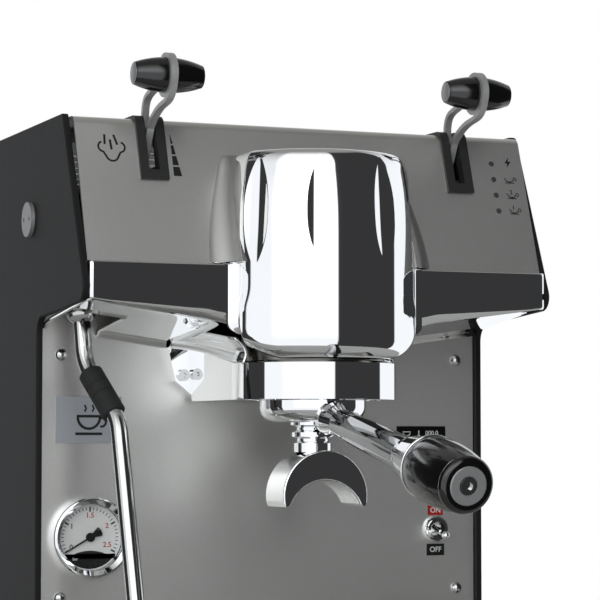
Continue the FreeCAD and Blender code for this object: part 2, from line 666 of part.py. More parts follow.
# Lever brackets: a U of steel under the casing top on each side, with the hinge pin riveted in.
brackets = []
for side in (-1, 1):
    low_x, high_x = side * lever_x - 10, side * lever_x + 10
    cheeks = [box((x, x + 2), (pivot_y - 8, pivot_y + 22),
                  (pivot_height - 12, pivot_height + 9)) for x in (low_x, high_x - 2)]
    back = box((low_x, high_x), (pivot_y + 20, pivot_y + 22),
               (pivot_height - 12, top_z - S.sheet_thick))
    pin = rod(S.pin_radius, 24, side * lever_x - 12, pivot_y, pivot_height, "X")
    brackets.append(fuse(*cheeks, back, pin))
node("lever_brackets", group(brackets))

# Status lamps: four small lenses pressed into the fascia beside their symbols.
lamps = [rod(S.lamp_radius, 5, lamp_x, *square_out(height, 0.3), rotation=into_fascia)
         for height in lamp_heights]
node("status_lamps", group(lamps))

# ---------------------------------------------------------------- brewing group
# Group cover: a chromed barrel, flat on top, swelling to a rim at its foot, with four flutes.
cover_line = (
    (S.cover_radius - 7.0, cover_foot),
    (S.cover_radius + 4.5, cover_foot + 18, S.cover_radius + 1.2, cover_foot + 6.5),
    (S.cover_radius, cover_foot + 44), (S.cover_radius - 1.7, cover_top - 26),
    (S.cover_radius - 5, cover_top - 6),
    (S.cover_radius - 11, cover_top, S.cover_radius - 7, cover_top - 1.5),
)
inner_line = (
    (S.cover_radius - 9.5, cover_foot + 1), (S.cover_radius - 2, cover_foot + 16),
    (S.cover_radius - S.cover_wall, cover_foot + 44),
    (S.cover_radius - S.cover_wall - 1.7, cover_top - 26),
    (S.cover_radius - S.cover_wall - 6, cover_top - 8), (0, cover_top - 8),
)
on_group = (0, S.group_y, 0, Rotation())
barrel = turned(((0, cover_foot),) + cover_line + ((0, cover_top),), on_group)
core = turned(((0, cover_foot - 5), (S.cover_radius - 9.5, cover_foot - 5)) + inner_line, on_group)
over = cover_top + 9
behind = shaped(flat_plate([(fascia_y(S.fascia_foot), S.fascia_foot), (fascia_y(over), over),
                            (150, over), (150, S.fascia_foot)], 0, 200))
rear_low = box((-100, 100), (S.group_y + 8, 150), (cover_foot - 10, S.fascia_foot + 1))
flutes = []
for angle in (-67.5, -22.5, 22.5, 67.5):
    flute = doc.addObject("Part::Ellipsoid", "Flute")
    flute.Radius1, flute.Radius2, flute.Radius3 = 26, 7.5, 7.5
    out = S.cover_radius + 4.2
    turn = math.radians(angle)
    place(flute, out * math.sin(turn), S.group_y - out * math.cos(turn), cover_top - 34)
    flutes.append(flute)
node("group_cover", cut(barrel, core, behind, rear_low, *flutes))

# Fairing: chromed pressing under the fascia, its lip falling from the side panels to the group.
def fairing_section(x, inset=0.0):
    """The fairing's section at one X: nose, lip and underside. An inset gives the inner face."""
    rise = max(0.0, abs(x) - float(lip_break)) / (float(inner_half) - float(lip_break))
    drop = max(0.0, 1 - rise)
    lip = float(S.fascia_foot) - float(S.lip_side_drop) - float(S.lip_middle_drop - S.lip_side_drop) * drop
    under = float(throat_height) - 1.5 - 10.5 * drop + inset
    head, back = float(S.fascia_foot) - 0.2, float(S.front_y) - 0.3
    middle = (head + lip) / 2
    if inset:
        spots = [(0.2 + inset, head + 9), (-3 + inset, head - 5), (-4.8 + inset, middle),
                 (-1.6 + inset, lip + inset + 1), (2.4 + inset, lip + inset + 1.2),
                 (3.4 + inset, lip + inset + 1.2), (back + 5, under), (back + 5, head + 9)]
    else:
        spots = [(0.2, head), (-4.2, head - 7), (-5.0, middle), (-2.0, lip), (1.5, lip - 0.6),
                 (2.6, lip + 1.0), (back, under), (back, head)]
    return Part.makePolygon([Vector(x, y, z) for y, z in spots + spots[:1]])


stations = [float(x) for x in (-inner_half, -lip_break, lip_break, inner_half)]
outer = Part.makeLoft([fairing_section(x) for x in stations], True, True)
inner = Part.makeLoft([fairing_section(x, float(S.fairing_wall)) for x in stations], True, True)
wand_port = box((wand_x - 13, wand_x + 17), (wand_y - 24, S.front_y + 5),
                (throat_height - 15, S.fascia_foot - 12))
around_group = rod(S.cover_radius + 4.7, 60, 0, S.group_y, cover_foot - 3)
fairing = cut(cut(shaped(outer), shaped(inner)), wand_port, around_group)
node("lower_fairing", fairing)

# Group arm: chromed casting from the boiler side through the front panel to the collar.
def level_section(y, lower_half, upper_half, foot, head):
    """A trapezoid section of the arm, square to Y."""
    corners = ((-lower_half, foot), (lower_half, foot), (upper_half, head), (-upper_half, head),
               (-lower_half, foot))
    return Part.makePolygon([Vector(x, y, z) for x, z in corners])


FLANGE_THICK = 7.2
arm_front, arm_back = float(S.group_y), float(S.front_y) - FLANGE_THICK
arm_foot, arm_head = float(S.collar_foot), float(S.collar_top)
reach = float(S.collar_radius)
beam = Part.makeLoft([level_section(arm_front, reach - 0.6, reach - 0.6, arm_foot, arm_head),
                      level_section(arm_back + 0.2, reach + 1.5, reach + 4.5, arm_foot, arm_foot + 31)],
                     True, True)
flange_half = [(reach - 0.5, 2), (reach + 11.5, 11.5), (reach + 15.8, 30), (reach + 15.8, 31)]
flange_points = flange_half + [(-x, z) for x, z in reversed(flange_half)]
flange_wire = Part.makePolygon([Vector(x, arm_back, arm_foot + z)
                                for x, z in flange_points + flange_points[:1]])
flange = Part.Face(flange_wire).extrude(Vector(0, FLANGE_THICK - float(S.press_gap), 0))
collar = Part.makeCylinder(reach, arm_head - arm_foot, Vector(0, arm_front, arm_foot))
seat = Part.makeCylinder(float(S.ring_radius + S.press_gap), 60, Vector(0, arm_front, arm_foot - 5))
stem = Part.makeBox(60, 26, 21, Vector(-30, float(S.front_y) - 3, arm_foot + 9))
screw_holes = [Part.makeCylinder(float(S.screw_shank + S.press_gap), 20,
                                 Vector(side * (reach + 7), arm_back - 5, arm_foot + 15), Vector(0, 1, 0))
               for side in (-1, 1)]
boiler_radius = S.cover_radius - 13.5
boiler_space = Part.makeCylinder(float(boiler_radius + S.fit_gap), 60,
                                 Vector(0, arm_front, float(cover_foot)))
arm = beam.fuse([flange, stem, collar]).cut([seat, boiler_space] + screw_holes).removeSplitter()
node("group_arm", shaped(arm))
arm_screw = ((0, -6), (S.screw_shank, -6), (S.screw_shank, 0), (S.screw_head, 0), (S.screw_head, 2.4),
             (1.5, 2.4), (1.5, 0.8), (0, 0.8))
arm_screws = [turned(arm_screw, (side * (S.collar_radius + 7), S.front_y - FLANGE_THICK,
                                 S.collar_foot + 15, Rotation(Vector(1, 0, 0), 90)))
              for side in (-1, 1)]
node("group_arm_screws", group(arm_screws))

# Bayonet ring: pressed into the collar; its lower lip carries the portafilter's two lugs.
lug_radius = S.ring_radius - 1.5 - S.fit_gap
lip_top = S.collar_foot + 5
ring_inside = S.rim_radius + S.fit_gap
ring = turned(((ring_inside, S.collar_foot + 0.5), (S.ring_radius, S.collar_foot + 0.5),
               (S.ring_radius, S.collar_top - 0.5), (S.ring_radius - 1.5, S.collar_top - 0.5),
               (S.ring_radius - 1.5, lip_top), (ring_inside, lip_top)), on_group)
NOTCH_TURN = math.radians(48)                    # the lugs go in turned this far from their locked place
notches = [rod(7.5, 10, side * (S.rim_radius + 2) * math.cos(NOTCH_TURN),
               S.group_y - side * (S.rim_radius + 2) * math.sin(NOTCH_TURN), S.collar_foot - 2)
           for side in (-1, 1)]
node("bayonet_ring", cut(ring, *notches))

# Group boiler: the heated block inside the cover, with the spigot that feeds the screen.
boiler = rod(boiler_radius, cover_top - 20 - cover_foot, 0, S.group_y, cover_foot)
spigot = rod(S.rim_radius, cover_foot - rim_height - 6 + 0.5, 0, S.group_y, rim_height + 6)
node("group_boiler", fuse(boiler, spigot))

# Group gasket: rubber ring between the boiler's spigot and the portafilter's rim.
gasket_inside = S.basket_radius - 0.2
gasket = turned(((gasket_inside, rim_height + 0.05), (S.rim_radius, rim_height + 0.05),
                 (S.rim_radius, rim_height + 6), (gasket_inside, rim_height + 6)), on_group)
node("group_gasket", gasket)

# Shower screen: perforated steel cap under the spigot, inside the gasket.
screen = rod(gasket_inside - S.fit_gap, 3, 0, S.group_y, rim_height + 3)
jets = []
for jet_circle, number in ((7, 6), (13, 12), (19, 18)):
    for step in range(number):
        turn = 2 * math.pi * step / number
        jets.append(rod(0.8, 6, jet_circle * math.cos(turn), S.group_y + jet_circle * math.sin(turn),
                        rim_height + 1.5))
node("shower_screen", cut(screen, *jets))

# ---------------------------------------------------------------- portafilter
# Cup: turned brass cup with two lugs and a boss for the handle.
cup_floor = cup_foot + 3
cup_inside = S.basket_radius + S.fit_gap
cup = turned((
    (0, cup_foot), (S.cup_radius - 9, cup_foot),
    (S.cup_radius, cup_foot + 8, S.cup_radius - 2.4, cup_foot + 2.7),
    (S.cup_radius, S.collar_foot - 0.3), (S.rim_radius, S.collar_foot + 2), (S.rim_radius, rim_height),
    (cup_inside, rim_height), (cup_inside, cup_foot + 9), (S.basket_radius - 6, cup_floor), (0, cup_floor)
), on_group)
lug_block = box((-lug_radius - 2, lug_radius + 2), (S.group_y - 9, S.group_y + 9),
                (lip_top + 0.15, lip_top + 5))
lug_disc = common(lug_block, rod(lug_radius, 20, 0, S.group_y, S.collar_foot))
lug_ring = cut(lug_disc, rod(S.rim_radius - 1, 30, 0, S.group_y, S.collar_foot - 5))
handle_turn = Rotation(Vector(1, 0, 0), 90 + float(S.handle_drop))


def on_handle(distance):
    """Where a piece starts along the handle, with the turn that lays its axis along it."""
    return (0, S.group_y - distance * math.cos(fall), handle_height - distance * math.sin(fall), handle_turn)


NECK_START = 41.0
boss_length = NECK_START - S.cup_radius + 3
boss = turned(((0, 0), (9.6, 0), (9.6, 5), (7.0, boss_length), (4, boss_length), (4, boss_length + 11),
               (0, boss_length + 11)), on_handle(S.cup_radius - 3))
outlet = rod(3, 12, 0, S.group_y, cup_foot - 2)
basket_space = rod(cup_inside, 12, 0, S.group_y, cup_foot + 9)
node("portafilter_cup", cut(fuse(cup, lug_ring, boss), basket_space, outlet))

# Filter basket: thin pressed cup that hangs from the rim.
basket = turned((
    (0, cup_foot + 9.6), (S.basket_radius - 3.5, cup_foot + 9.6),
    (S.basket_radius, cup_foot + 12), (S.basket_radius, rim_height - 0.3),
    (S.basket_radius - 0.8, rim_height - 0.3), (S.basket_radius - 0.8, cup_foot + 12.8),
    (S.basket_radius - 4, cup_foot + 10.6), (0, cup_foot + 10.6)
), on_group)
node("filter_basket", basket)

# Spout nut: stepped chrome nut that holds the spout to the cup.
nut = turned((
    (3, spout_top - 1), (10.5, spout_top - 1), (10.5, spout_top + 4), (8.8, spout_top + 5),
    (8.8, spout_top + 6.5), (11.8, spout_top + 7.5), (11.8, spout_top + 10), (9, spout_top + 11.5),
    (9, spout_top + 12.5), (12.6, cup_foot - 1.5), (12.6, cup_foot), (3, cup_foot)
), on_group)
node("spout_nut", nut)

# Double spout: a cast arch that parts the flow to two tips.
spout_outline = (
    (-S.spout_half, spout_foot + 3), (S.spout_half, spout_foot + 3, 0, spout_top),
    (S.spout_half - 1.5, spout_foot), (S.spout_half - 4.5, spout_foot + 1.5),
    (-S.spout_half + 4.5, spout_foot + 1.5, 0, spout_top - 16.5), (-S.spout_half + 1.5, spout_foot),
)
spout_body = padded(spout_outline, 27, "XZ_Plane")
rounded(spout_body, 1.0, lambda edge: edge.BoundBox.YLength < 0.01 and edge.BoundBox.ZLength > 12)
place(spout_body, 0, S.group_y - 5.5, 0)
nut_seat = rod(10.5, 30, 0, S.group_y, spout_top - 1)
channel = rod(3, 12, 0, S.group_y, spout_top - 10)
node("portafilter_spout", cut(spout_body, nut_seat, channel))

# Handle: a chromed neck screwed to the boss, a flared ferrule, a moulded grip, and an end disc
# held by a socket screw.
flare = S.grip_start - S.flare_start
neck_body = turned((
    (4.05, 0), (6.6, 0), (7.6, 1.5), (8.2, 20), (9.3, S.flare_start - NECK_START),
    (4.05, S.flare_start - NECK_START)
), on_handle(NECK_START))
node("handle_neck", neck_body)
ferrule = turned((
    (4, 0), (9.4, 0), (12.2, flare * 0.3), (15.2, flare - 4), (S.grip_radius - 0.8, flare - 2.2),
    (S.grip_radius - 0.5, flare - 1), (S.grip_radius - 0.9, flare), (4, flare)
), on_handle(S.flare_start + 0.02))
node("handle_ferrule", ferrule)
grip_length = S.handle_reach - S.grip_start
grip = turned((
    (4, 0), (S.grip_radius - 1.0, 0), (S.grip_radius, 9, S.grip_radius - 0.25, 4.5),
    (S.grip_radius - 2.6, grip_length - 4, S.grip_radius - 0.7, grip_length / 2 + 4),
    (S.grip_radius - 5, grip_length, S.grip_radius - 3.3, grip_length - 1), (10, grip_length),
    (10, grip_length - 1.5), (4, grip_length - 1.5)
), on_handle(S.grip_start + 0.04))
node("handle_grip", grip)
end_disc = turned((
    (4.5, 0), (9.75, 0), (9.75, 1.5), (9.3, 1.9), (5, 1.9), (4.5, 1.4)
), on_handle(S.handle_reach - 1.4))
node("handle_end_disc", end_disc)
end_screw = turned((
    (0, -12), (2.8, -12), (2.8, -0.05), (4.3, -0.05), (4.3, 2.2), (2.1, 2.2), (2.1, 0.6), (0, 0.6)
), on_handle(S.handle_reach - 1.35))
node("handle_screw", end_screw)

# ---------------------------------------------------------------- steam wand
# The wand's route, from the ball down to the tip; bends are arcs tangent to the straight runs.
ball = Vector(float(wand_x), float(wand_y), float(wand_height))
WAND_RUNS = (Vector(0, 0, 0), Vector(0.6, -5.5, -30), Vector(10.5, -35.5, -62), Vector(11, -66.5, -163))
BEND_RADIUS = (30.0, 24.0)


def rounded_route(spots, radii):
    """Straight runs joined by tangent arcs."""
    edges, start = [], spots[0]
    for corner, after, radius in zip(spots[1:], spots[2:], radii):
        back, ahead = (start - corner).normalize(), (after - corner).normalize()
        half = back.getAngle(ahead) / 2
        run = radius / math.tan(half)
        first, last = corner + back * run, corner + ahead * run
        centre = corner + (back + ahead).normalize() * (radius / math.sin(half))
        middle = centre + (corner - centre).normalize() * radius
        edges += [Part.LineSegment(start, first).toShape(), Part.Arc(first, middle, last).toShape()]
        start = last
    edges.append(Part.LineSegment(start, spots[-1]).toShape())
    return Part.Wire(edges)


def swept(route, radius):
    """A round bar along a route."""
    edge = route.Edges[0]
    along = edge.tangentAt(edge.FirstParameter)
    ring = Part.Wire(Part.makeCircle(radius, edge.valueAt(edge.FirstParameter), along))
    return route.makePipeShell([ring], True, False)


wand_spots = [ball + step for step in WAND_RUNS]
route = rounded_route(wand_spots, BEND_RADIUS)
tube = swept(route, float(S.tube_radius))
ball_space = Part.makeSphere(float(S.ball_radius) + 0.05, ball)
node("steam_wand", shaped(tube.cut([ball_space])))

grip_from, grip_to = wand_spots[1], wand_spots[2]
grip_way = (grip_to - grip_from).normalize()
grip_turn = Rotation(Vector(0, 0, 1), grip_way)


def wand_piece(profile, start, turn):
    """A turned piece strung on the wand."""
    return turned(profile, (start.x, start.y, start.z, turn))


sleeve_radius = S.tube_radius + 2.1
groove_radius = sleeve_radius - 0.5
sleeve = wand_piece((
    (S.tube_radius, 0), (sleeve_radius - 1, 0), (sleeve_radius, 1),
    (sleeve_radius, 11), (groove_radius, 11.4), (sleeve_radius, 11.8),
    (sleeve_radius, 18), (groove_radius, 18.4), (sleeve_radius, 18.8),
    (sleeve_radius, 31), (sleeve_radius - 1, 32), (S.tube_radius, 32)
), grip_from + grip_way * 7.5, grip_turn)
node("wand_grip", sleeve)

tip_way = (wand_spots[3] - wand_spots[2]).normalize()
tip_turn = Rotation(Vector(0, 0, 1), tip_way)
tip = wand_piece((
    (0, 0), (S.tube_radius + 0.9, 0), (S.tube_radius + 0.9, 9), (S.tube_radius + 0.2, 11),
    (S.tube_radius + 0.2, 13), (2.5, 18, S.tube_radius - 0.9, 16.7), (0, 18)
), wand_spots[3], tip_turn)
nozzle = wand_spots[3] + tip_way * 16
tip_holes = [rod(0.7, 8, nozzle.x, nozzle.y, nozzle.z,
                 rotation=tip_turn * Rotation(Vector(0, 0, 1), quarter) * Rotation(Vector(0, 1, 0), 40))
             for quarter in (0, 90, 180, 270)]
node("wand_tip", cut(tip, *tip_holes))

# Wand ball: steel ball in which the tube is fixed, held in the socket.
node("wand_ball", shaped(Part.makeSphere(float(S.ball_radius), ball)))

# Wand socket: plastic block behind the fairing's port, with a spherical seat for the ball.
socket_block = box((wand_x - 11.5, wand_x + 15.5), (wand_y - 20, wand_y + 20),
                   (wand_height + 2, wand_height + 16))
seat_space = shaped(Part.makeSphere(float(S.ball_radius) + float(S.press_gap), ball))
node("wand_socket", cut(socket_block, seat_space))

# ---------------------------------------------------------------- front panel fittings
# Name plate: blank satin plate stuck to the front panel.
node("name_plate", box((gauge_x - 20.8, gauge_x + 18.2), (S.front_y - 0.8, S.front_y),
                       (S.gauge_height + 53.5, S.gauge_height + 80)))

# Boiler gauge: case behind the panel, chromed bezel, dial, pointer and glass.
def on_gauge(face_y):
    """A turned piece of the gauge: its axis runs towards the front, from a face's Y."""
    return (gauge_x, face_y, S.gauge_height, Rotation(Vector(1, 0, 0), 90))


case_radius = S.gauge_radius - 3
case = turned(((0, -S.gauge_depth), (case_radius, -S.gauge_depth), (case_radius, 1), (case_radius - 1, 1),
               (case_radius - 1, -1.2), (0, -1.2)), on_gauge(S.front_y))
node("gauge_case", case)
bezel_ring = turned((
    (case_radius - 1, 1.02), (case_radius + 0.05, 1.02), (case_radius + 0.05, 0), (S.gauge_radius, 0),
    (S.gauge_radius, 5), (S.gauge_radius - 1.6, 7.4, S.gauge_radius - 0.4, 6.8),
    (case_radius - 1, 5.4), (case_radius - 1, 4.6), (case_radius, 4.6), (case_radius, 3.1),
    (case_radius - 1, 3.1)
), on_gauge(S.front_y))
node("gauge_bezel", bezel_ring)
dial_radius = case_radius - 1 - S.press_gap
dial = turned(((1.2, -1.2), (dial_radius, -1.2), (dial_radius, -0.4), (1.2, -0.4)), on_gauge(S.front_y))
node("gauge_dial", dial)
POINTER_ZERO = -120.0
pointer_hub = Part.makeCylinder(2.6, 1.4, Vector(0, -0.2, 0), Vector(0, -1, 0))
spindle = Part.makeCylinder(1.0, 1.4, Vector(0, 0.9, 0), Vector(0, -1, 0))
needle_outline = (
    (-2.75, -6.6), (-1.5, -7.2), (0, -7.4), (1.5, -7.2), (2.75, -6.6), (0.5, 0), (0.3, 17), (-0.3, 17),
    (-0.5, 0), (-2.75, -6.6)
)
needle_wire = Part.makePolygon([Vector(x, -0.5, z) for x, z in needle_outline])
needle = Part.Face(needle_wire).extrude(Vector(0, -0.6, 0))
pointer = pointer_hub.fuse([spindle, needle])
pointer.rotate(Vector(0, 0, 0), Vector(0, 1, 0), POINTER_ZERO)
pointer.translate(Vector(float(gauge_x), float(S.front_y), float(S.gauge_height)))
node("gauge_pointer", shaped(pointer))
glass = rod(case_radius - S.press_gap, 1.4, gauge_x, S.front_y - 4.55, S.gauge_height, "Y")
node("gauge_glass", glass)

# Display: glossy window in the panel with its circuit block behind it.
def display_block(inset, near_y, far_y):
    """A block behind or in the window, set in from its edge all round."""
    half_width, half_tall = S.display_width / 2 - inset, S.display_tall / 2 - inset
    return box((display_x - half_width, display_x + half_width), (near_y, far_y),
               (S.display_height - half_tall, S.display_height + half_tall))


display = fuse(display_block(0, S.front_y - 0.9, S.front_y),
               display_block(3.4, S.front_y - 0.5, S.front_y + 9))
node("display_window", display)

# Mains switch: toggle in a threaded bush, held by a round nut on the panel's face.
def on_switch(face_y):
    """A turned piece of the switch: its axis runs towards the front."""
    return (switch_x, face_y, S.switch_height, Rotation(Vector(1, 0, 0), 90))


bush = turned((
    (0, -24), (9.5, -24), (9.5, -1.6), (S.switch_radius, -1.6), (S.switch_radius, 3.4),
    (S.switch_radius - 1.6, 3.4), (S.switch_radius - 3.2, -6), (0, -6)
), on_switch(S.front_y))
node("switch_body", bush)
nut_ring = turned((
    (S.switch_radius + S.press_gap, 0), (S.switch_radius + 1.6, 0), (S.switch_radius + 1.6, 1.9),
    (S.switch_radius + 1.1, 2.5), (S.switch_radius + S.press_gap, 2.5)
), on_switch(S.front_y))
node("switch_nut", nut_ring)
SWITCH_REST = 15.0
lever_turn = Rotation(Vector(1, 0, 0), 90 + SWITCH_REST)
bat = turned(((0, -3.2), (1.6, -3.2), (1.5, 0), (1.7, 9), (2.5, 13.2, 2.0, 11.2), dome(2.5, 2.5, 13.2)),
             (switch_x, S.front_y - 1.5, S.switch_height, lever_turn))
node("switch_lever", bat)
label_y = (S.front_y - 0.25, S.front_y)
labels = [box((switch_x - half, switch_x + half), label_y, (S.switch_height + foot, S.switch_height + head))
          for half, foot, head in ((5.8, -16, -9), (5, 8.2, 14))]
node("switch_labels", group(labels))

# ---------------------------------------------------------------- inside the casing
# Steam boiler: horizontal copper-steel cylinder with dished ends, on two saddles of its own.
boiler_y, boiler_height = S.front_y + 76, 215
steam_boiler = turned(((0, -85), (38, -85), (46, -77), (46, 77), (38, 85), (0, 85)),
                      (0, boiler_y, boiler_height, AXES["X"]))
saddles = [box((x - 6, x + 6), (boiler_y - 20, boiler_y + 20), (base_top, boiler_height - 25))
           for x in (-60, 20)]
node("steam_boiler", fuse(steam_boiler, *saddles))

# Steam valve: the cock under the left lever that feeds the wand, with its pipe from the boiler.
valve_base = wand_height + 16.05
valve = fuse(box((-lever_x - 12, -lever_x + 12), (pivot_y - 4, pivot_y + 30), (valve_base, valve_base + 22)),
             box((wand_x - 6, -lever_x), (wand_y - 6, wand_y + 6), (valve_base, valve_base + 12)))
node("steam_valve", valve)

# Pump unit: the motor on its foot, and the pump clamped to its end.
motor_x = inner_half - 74
motor = rod(36, 95, motor_x, S.casing_back - 160, base_top + 40, "Y")
motor_foot = box((motor_x - 22, motor_x + 22), (S.casing_back - 150, S.casing_back - 80),
                 (base_top, base_top + 20))
pump = fuse(rod(21, 48, motor_x, S.casing_back - 208, base_top + 40, "Y"),
            rod(5, 22, motor_x, S.casing_back - 190, base_top + 55))
node("pump_unit", group([fuse(motor, motor_foot), pump]))

# Control box: the electronics' housing on the base, left.
node("control_box", box((-inner_half + 21, -30), (boiler_y + 26, S.casing_back - 60),
                        (base_top, base_top + 54)))


# Mains inlet: three-pin appliance socket in the back panel.
def inlet_block(half_width, half_height, y):
    """A block centred on the inlet."""
    return box((inlet_x - half_width, inlet_x + half_width), y,
               (inlet_height - half_height, inlet_height + half_height))


inlet_shell = fuse(inlet_block(13.8, 9.8, (back_face - 25, back_face + 1)),
                   inlet_block(24, 13, (back_face, back_face + 3)))
inlet_hollow = inlet_block(11.5, 8, (back_face - 15, back_face + 5))
inlet_pins = [box((inlet_x + step - 1, inlet_x + step + 1), (back_face - 16, back_face - 2),
                  (inlet_height + rise - 2, inlet_height + rise + 2))
              for step, rise in ((-7, -2), (0, 2), (7, -2))]
node("mains_inlet", fuse(cut(inlet_shell, inlet_hollow), *inlet_pins))

# Water inlet: threaded brass stub in the back panel, with a nut inside and a shoulder outside.
stub = turned(((3.5, -20), (11, -20), (11, -1.5), (7, -1.5), (7, 0), (11, 0), (11, 5), (8.2, 5),
               (8.2, INLET_REACH), (3.5, INLET_REACH)),
              (water_x, back_face, water_height, AXES["Y"]))
node("water_inlet", stub)

# ---------------------------------------------------------------- checks and files
doc.recompute()
for thing in doc.Objects:
    if {"Invalid", "Error"} & set(thing.State):
        raise RuntimeError(f"{thing.Name} ({thing.Label}) failed to build: {thing.State}")
os.makedirs("parts", exist_ok=True)
for piece in NODES:
    if piece.Shape.isNull() or not piece.Shape.isValid() or not piece.Shape.Solids:
        raise RuntimeError(f"{piece.Label} has no valid solid")
    piece.Shape.exportStep(os.path.join("parts", f"{piece.Label}.step"))
print(f"{len(NODES)} pieces written")
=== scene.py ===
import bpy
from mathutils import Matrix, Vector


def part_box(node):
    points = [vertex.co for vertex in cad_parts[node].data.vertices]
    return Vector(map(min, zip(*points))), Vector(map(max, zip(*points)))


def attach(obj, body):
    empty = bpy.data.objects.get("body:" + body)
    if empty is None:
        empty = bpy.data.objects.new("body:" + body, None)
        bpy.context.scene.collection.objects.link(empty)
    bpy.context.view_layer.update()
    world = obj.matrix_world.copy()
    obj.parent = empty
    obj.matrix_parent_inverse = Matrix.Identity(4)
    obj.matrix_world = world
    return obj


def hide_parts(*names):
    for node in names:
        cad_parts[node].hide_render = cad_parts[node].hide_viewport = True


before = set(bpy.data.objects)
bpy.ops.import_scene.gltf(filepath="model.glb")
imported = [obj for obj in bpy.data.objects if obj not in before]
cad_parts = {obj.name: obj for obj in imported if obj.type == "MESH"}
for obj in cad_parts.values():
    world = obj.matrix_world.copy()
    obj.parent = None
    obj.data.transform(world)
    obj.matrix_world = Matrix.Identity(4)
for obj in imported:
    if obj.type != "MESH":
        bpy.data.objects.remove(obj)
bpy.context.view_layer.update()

import math

import bpy
import bmesh
from mathutils import Matrix, Vector

# ---------------------------------------------------------------- studio
# The machine stands on a round pale board in a white tent with a tall black card at its right front,
# another at its left and a soft glow from the left front, the way bright metal is lit.
CAMERA_PLACE = (-0.5139, -1.3273, 0.2129)
CAMERA_TURN = (93.355, 0.0, -22.366)
CAMERA_LENS = 142.96
camera = bpy.data.objects.new("camera", bpy.data.cameras.new("camera"))
camera.location = CAMERA_PLACE
camera.rotation_euler = [math.radians(angle) for angle in CAMERA_TURN]
camera.data.lens = CAMERA_LENS
camera.data.sensor_width = 36.0
camera.data.clip_end = 50.0
bpy.context.scene.collection.objects.link(camera)
bpy.context.scene.camera = camera
bpy.context.scene.view_settings.view_transform = "Standard"


def linear(code):
    """An sRGB hex value as linear red, green, blue and alpha."""
    channels = [int(code[start:start + 2], 16) / 255 for start in (1, 3, 5)]
    return [c / 12.92 if c <= 0.04045 else ((c + 0.055) / 1.055) ** 2.4 for c in channels] + [1.0]


def add_node(tree, kind, inputs=(), **settings):
    """Add a node with its settings; inputs pairs sockets with values or with other nodes' outputs."""
    made = tree.nodes.new(kind)
    for name, value in settings.items():
        setattr(made, name, value)
    for socket, value in dict(inputs).items():
        if isinstance(value, bpy.types.NodeSocket):
            tree.links.new(value, made.inputs[socket])
        else:
            made.inputs[socket].default_value = value
    return made


CARDS = ((8, 84), (-150, -92))                   # the cards' edges, in degrees round from the front
CARD_EDGE = math.radians(1.2)
CARD_TOP = math.radians(60)
CARD_BLACK, TENT_WHITE, ROOF_GREY = "#353536", "#FAFCFF", "#8E8E8C"
ROOF_RISE = (0.25, 1.1)                          # the tent greys into its roof between these heights, in radians
GLOW_TURN, GLOW_RISE = (-62, 8), (0.12, 1.05)    # degrees round from the front, radians up
GLOW_GAIN = 1.2                                  # how much brighter than the tent the glow is
world = bpy.data.worlds.new("studio")
bpy.context.scene.world = world
world.use_nodes = True
sky = world.node_tree
sky.nodes.clear()
way = add_node(sky, "ShaderNodeSeparateXYZ", {0: add_node(sky, "ShaderNodeTexCoord").outputs["Generated"]})
ahead = add_node(sky, "ShaderNodeMath", {0: way.outputs[1], 1: -1.0}, operation="MULTIPLY")
round_from_front = add_node(sky, "ShaderNodeMath", {0: way.outputs[0], 1: ahead.outputs[0]}, operation="ARCTAN2")
height_angle = add_node(sky, "ShaderNodeMath", {0: way.outputs[2]}, operation="ARCSINE")


def between(value, low, high, soft):
    """One inside a range, zero outside, with soft edges."""
    rise = add_node(sky, "ShaderNodeMapRange", {0: value, 1: low - soft, 2: low + soft},
                    interpolation_type="SMOOTHSTEP")
    drop = add_node(sky, "ShaderNodeMapRange", {0: value, 1: high - soft, 2: high + soft, 3: 1.0, 4: 0.0},
                    interpolation_type="SMOOTHSTEP")
    return add_node(sky, "ShaderNodeMath", {0: rise.outputs[0], 1: drop.outputs[0]}, operation="MULTIPLY")


sides = [between(round_from_front.outputs[0], math.radians(low), math.radians(high), CARD_EDGE)
         for low, high in CARDS]
both = add_node(sky, "ShaderNodeMath", {0: sides[0].outputs[0], 1: sides[1].outputs[0]}, operation="ADD")
card = add_node(sky, "ShaderNodeMath", {
    0: both.outputs[0], 1: between(height_angle.outputs[0], -0.95, CARD_TOP, 0.12).outputs[0]},
    operation="MULTIPLY")
roof = add_node(sky, "ShaderNodeMapRange", {0: height_angle.outputs[0], 1: ROOF_RISE[0], 2: ROOF_RISE[1]},
                interpolation_type="SMOOTHSTEP")
tent = add_node(sky, "ShaderNodeMix", {0: roof.outputs[0], 6: linear(TENT_WHITE), 7: linear(ROOF_GREY)},
                data_type="RGBA")
room = add_node(sky, "ShaderNodeMix", {0: card.outputs[0], 6: tent.outputs[2], 7: linear(CARD_BLACK)},
                data_type="RGBA")
glow = add_node(sky, "ShaderNodeMath", {
    0: between(round_from_front.outputs[0], *(math.radians(edge) for edge in GLOW_TURN), 0.12).outputs[0],
    1: between(height_angle.outputs[0], *GLOW_RISE, 0.2).outputs[0]}, operation="MULTIPLY")
strength = add_node(sky, "ShaderNodeMath", {0: glow.outputs[0], 1: GLOW_GAIN, 2: 1.0}, operation="MULTIPLY_ADD")
seen = add_node(sky, "ShaderNodeLightPath")
backdrop = add_node(sky, "ShaderNodeMix", {0: seen.outputs["Is Camera Ray"], 6: room.outputs[2],
                                          7: (1, 1, 1, 1)}, data_type="RGBA")
level = add_node(sky, "ShaderNodeMix", {0: seen.outputs["Is Camera Ray"], 2: strength.outputs[0], 3: 1.0})
light = add_node(sky, "ShaderNodeBackground", {0: backdrop.outputs[2], 1: level.outputs[0]})
add_node(sky, "ShaderNodeOutputWorld", {0: light.outputs[0]})

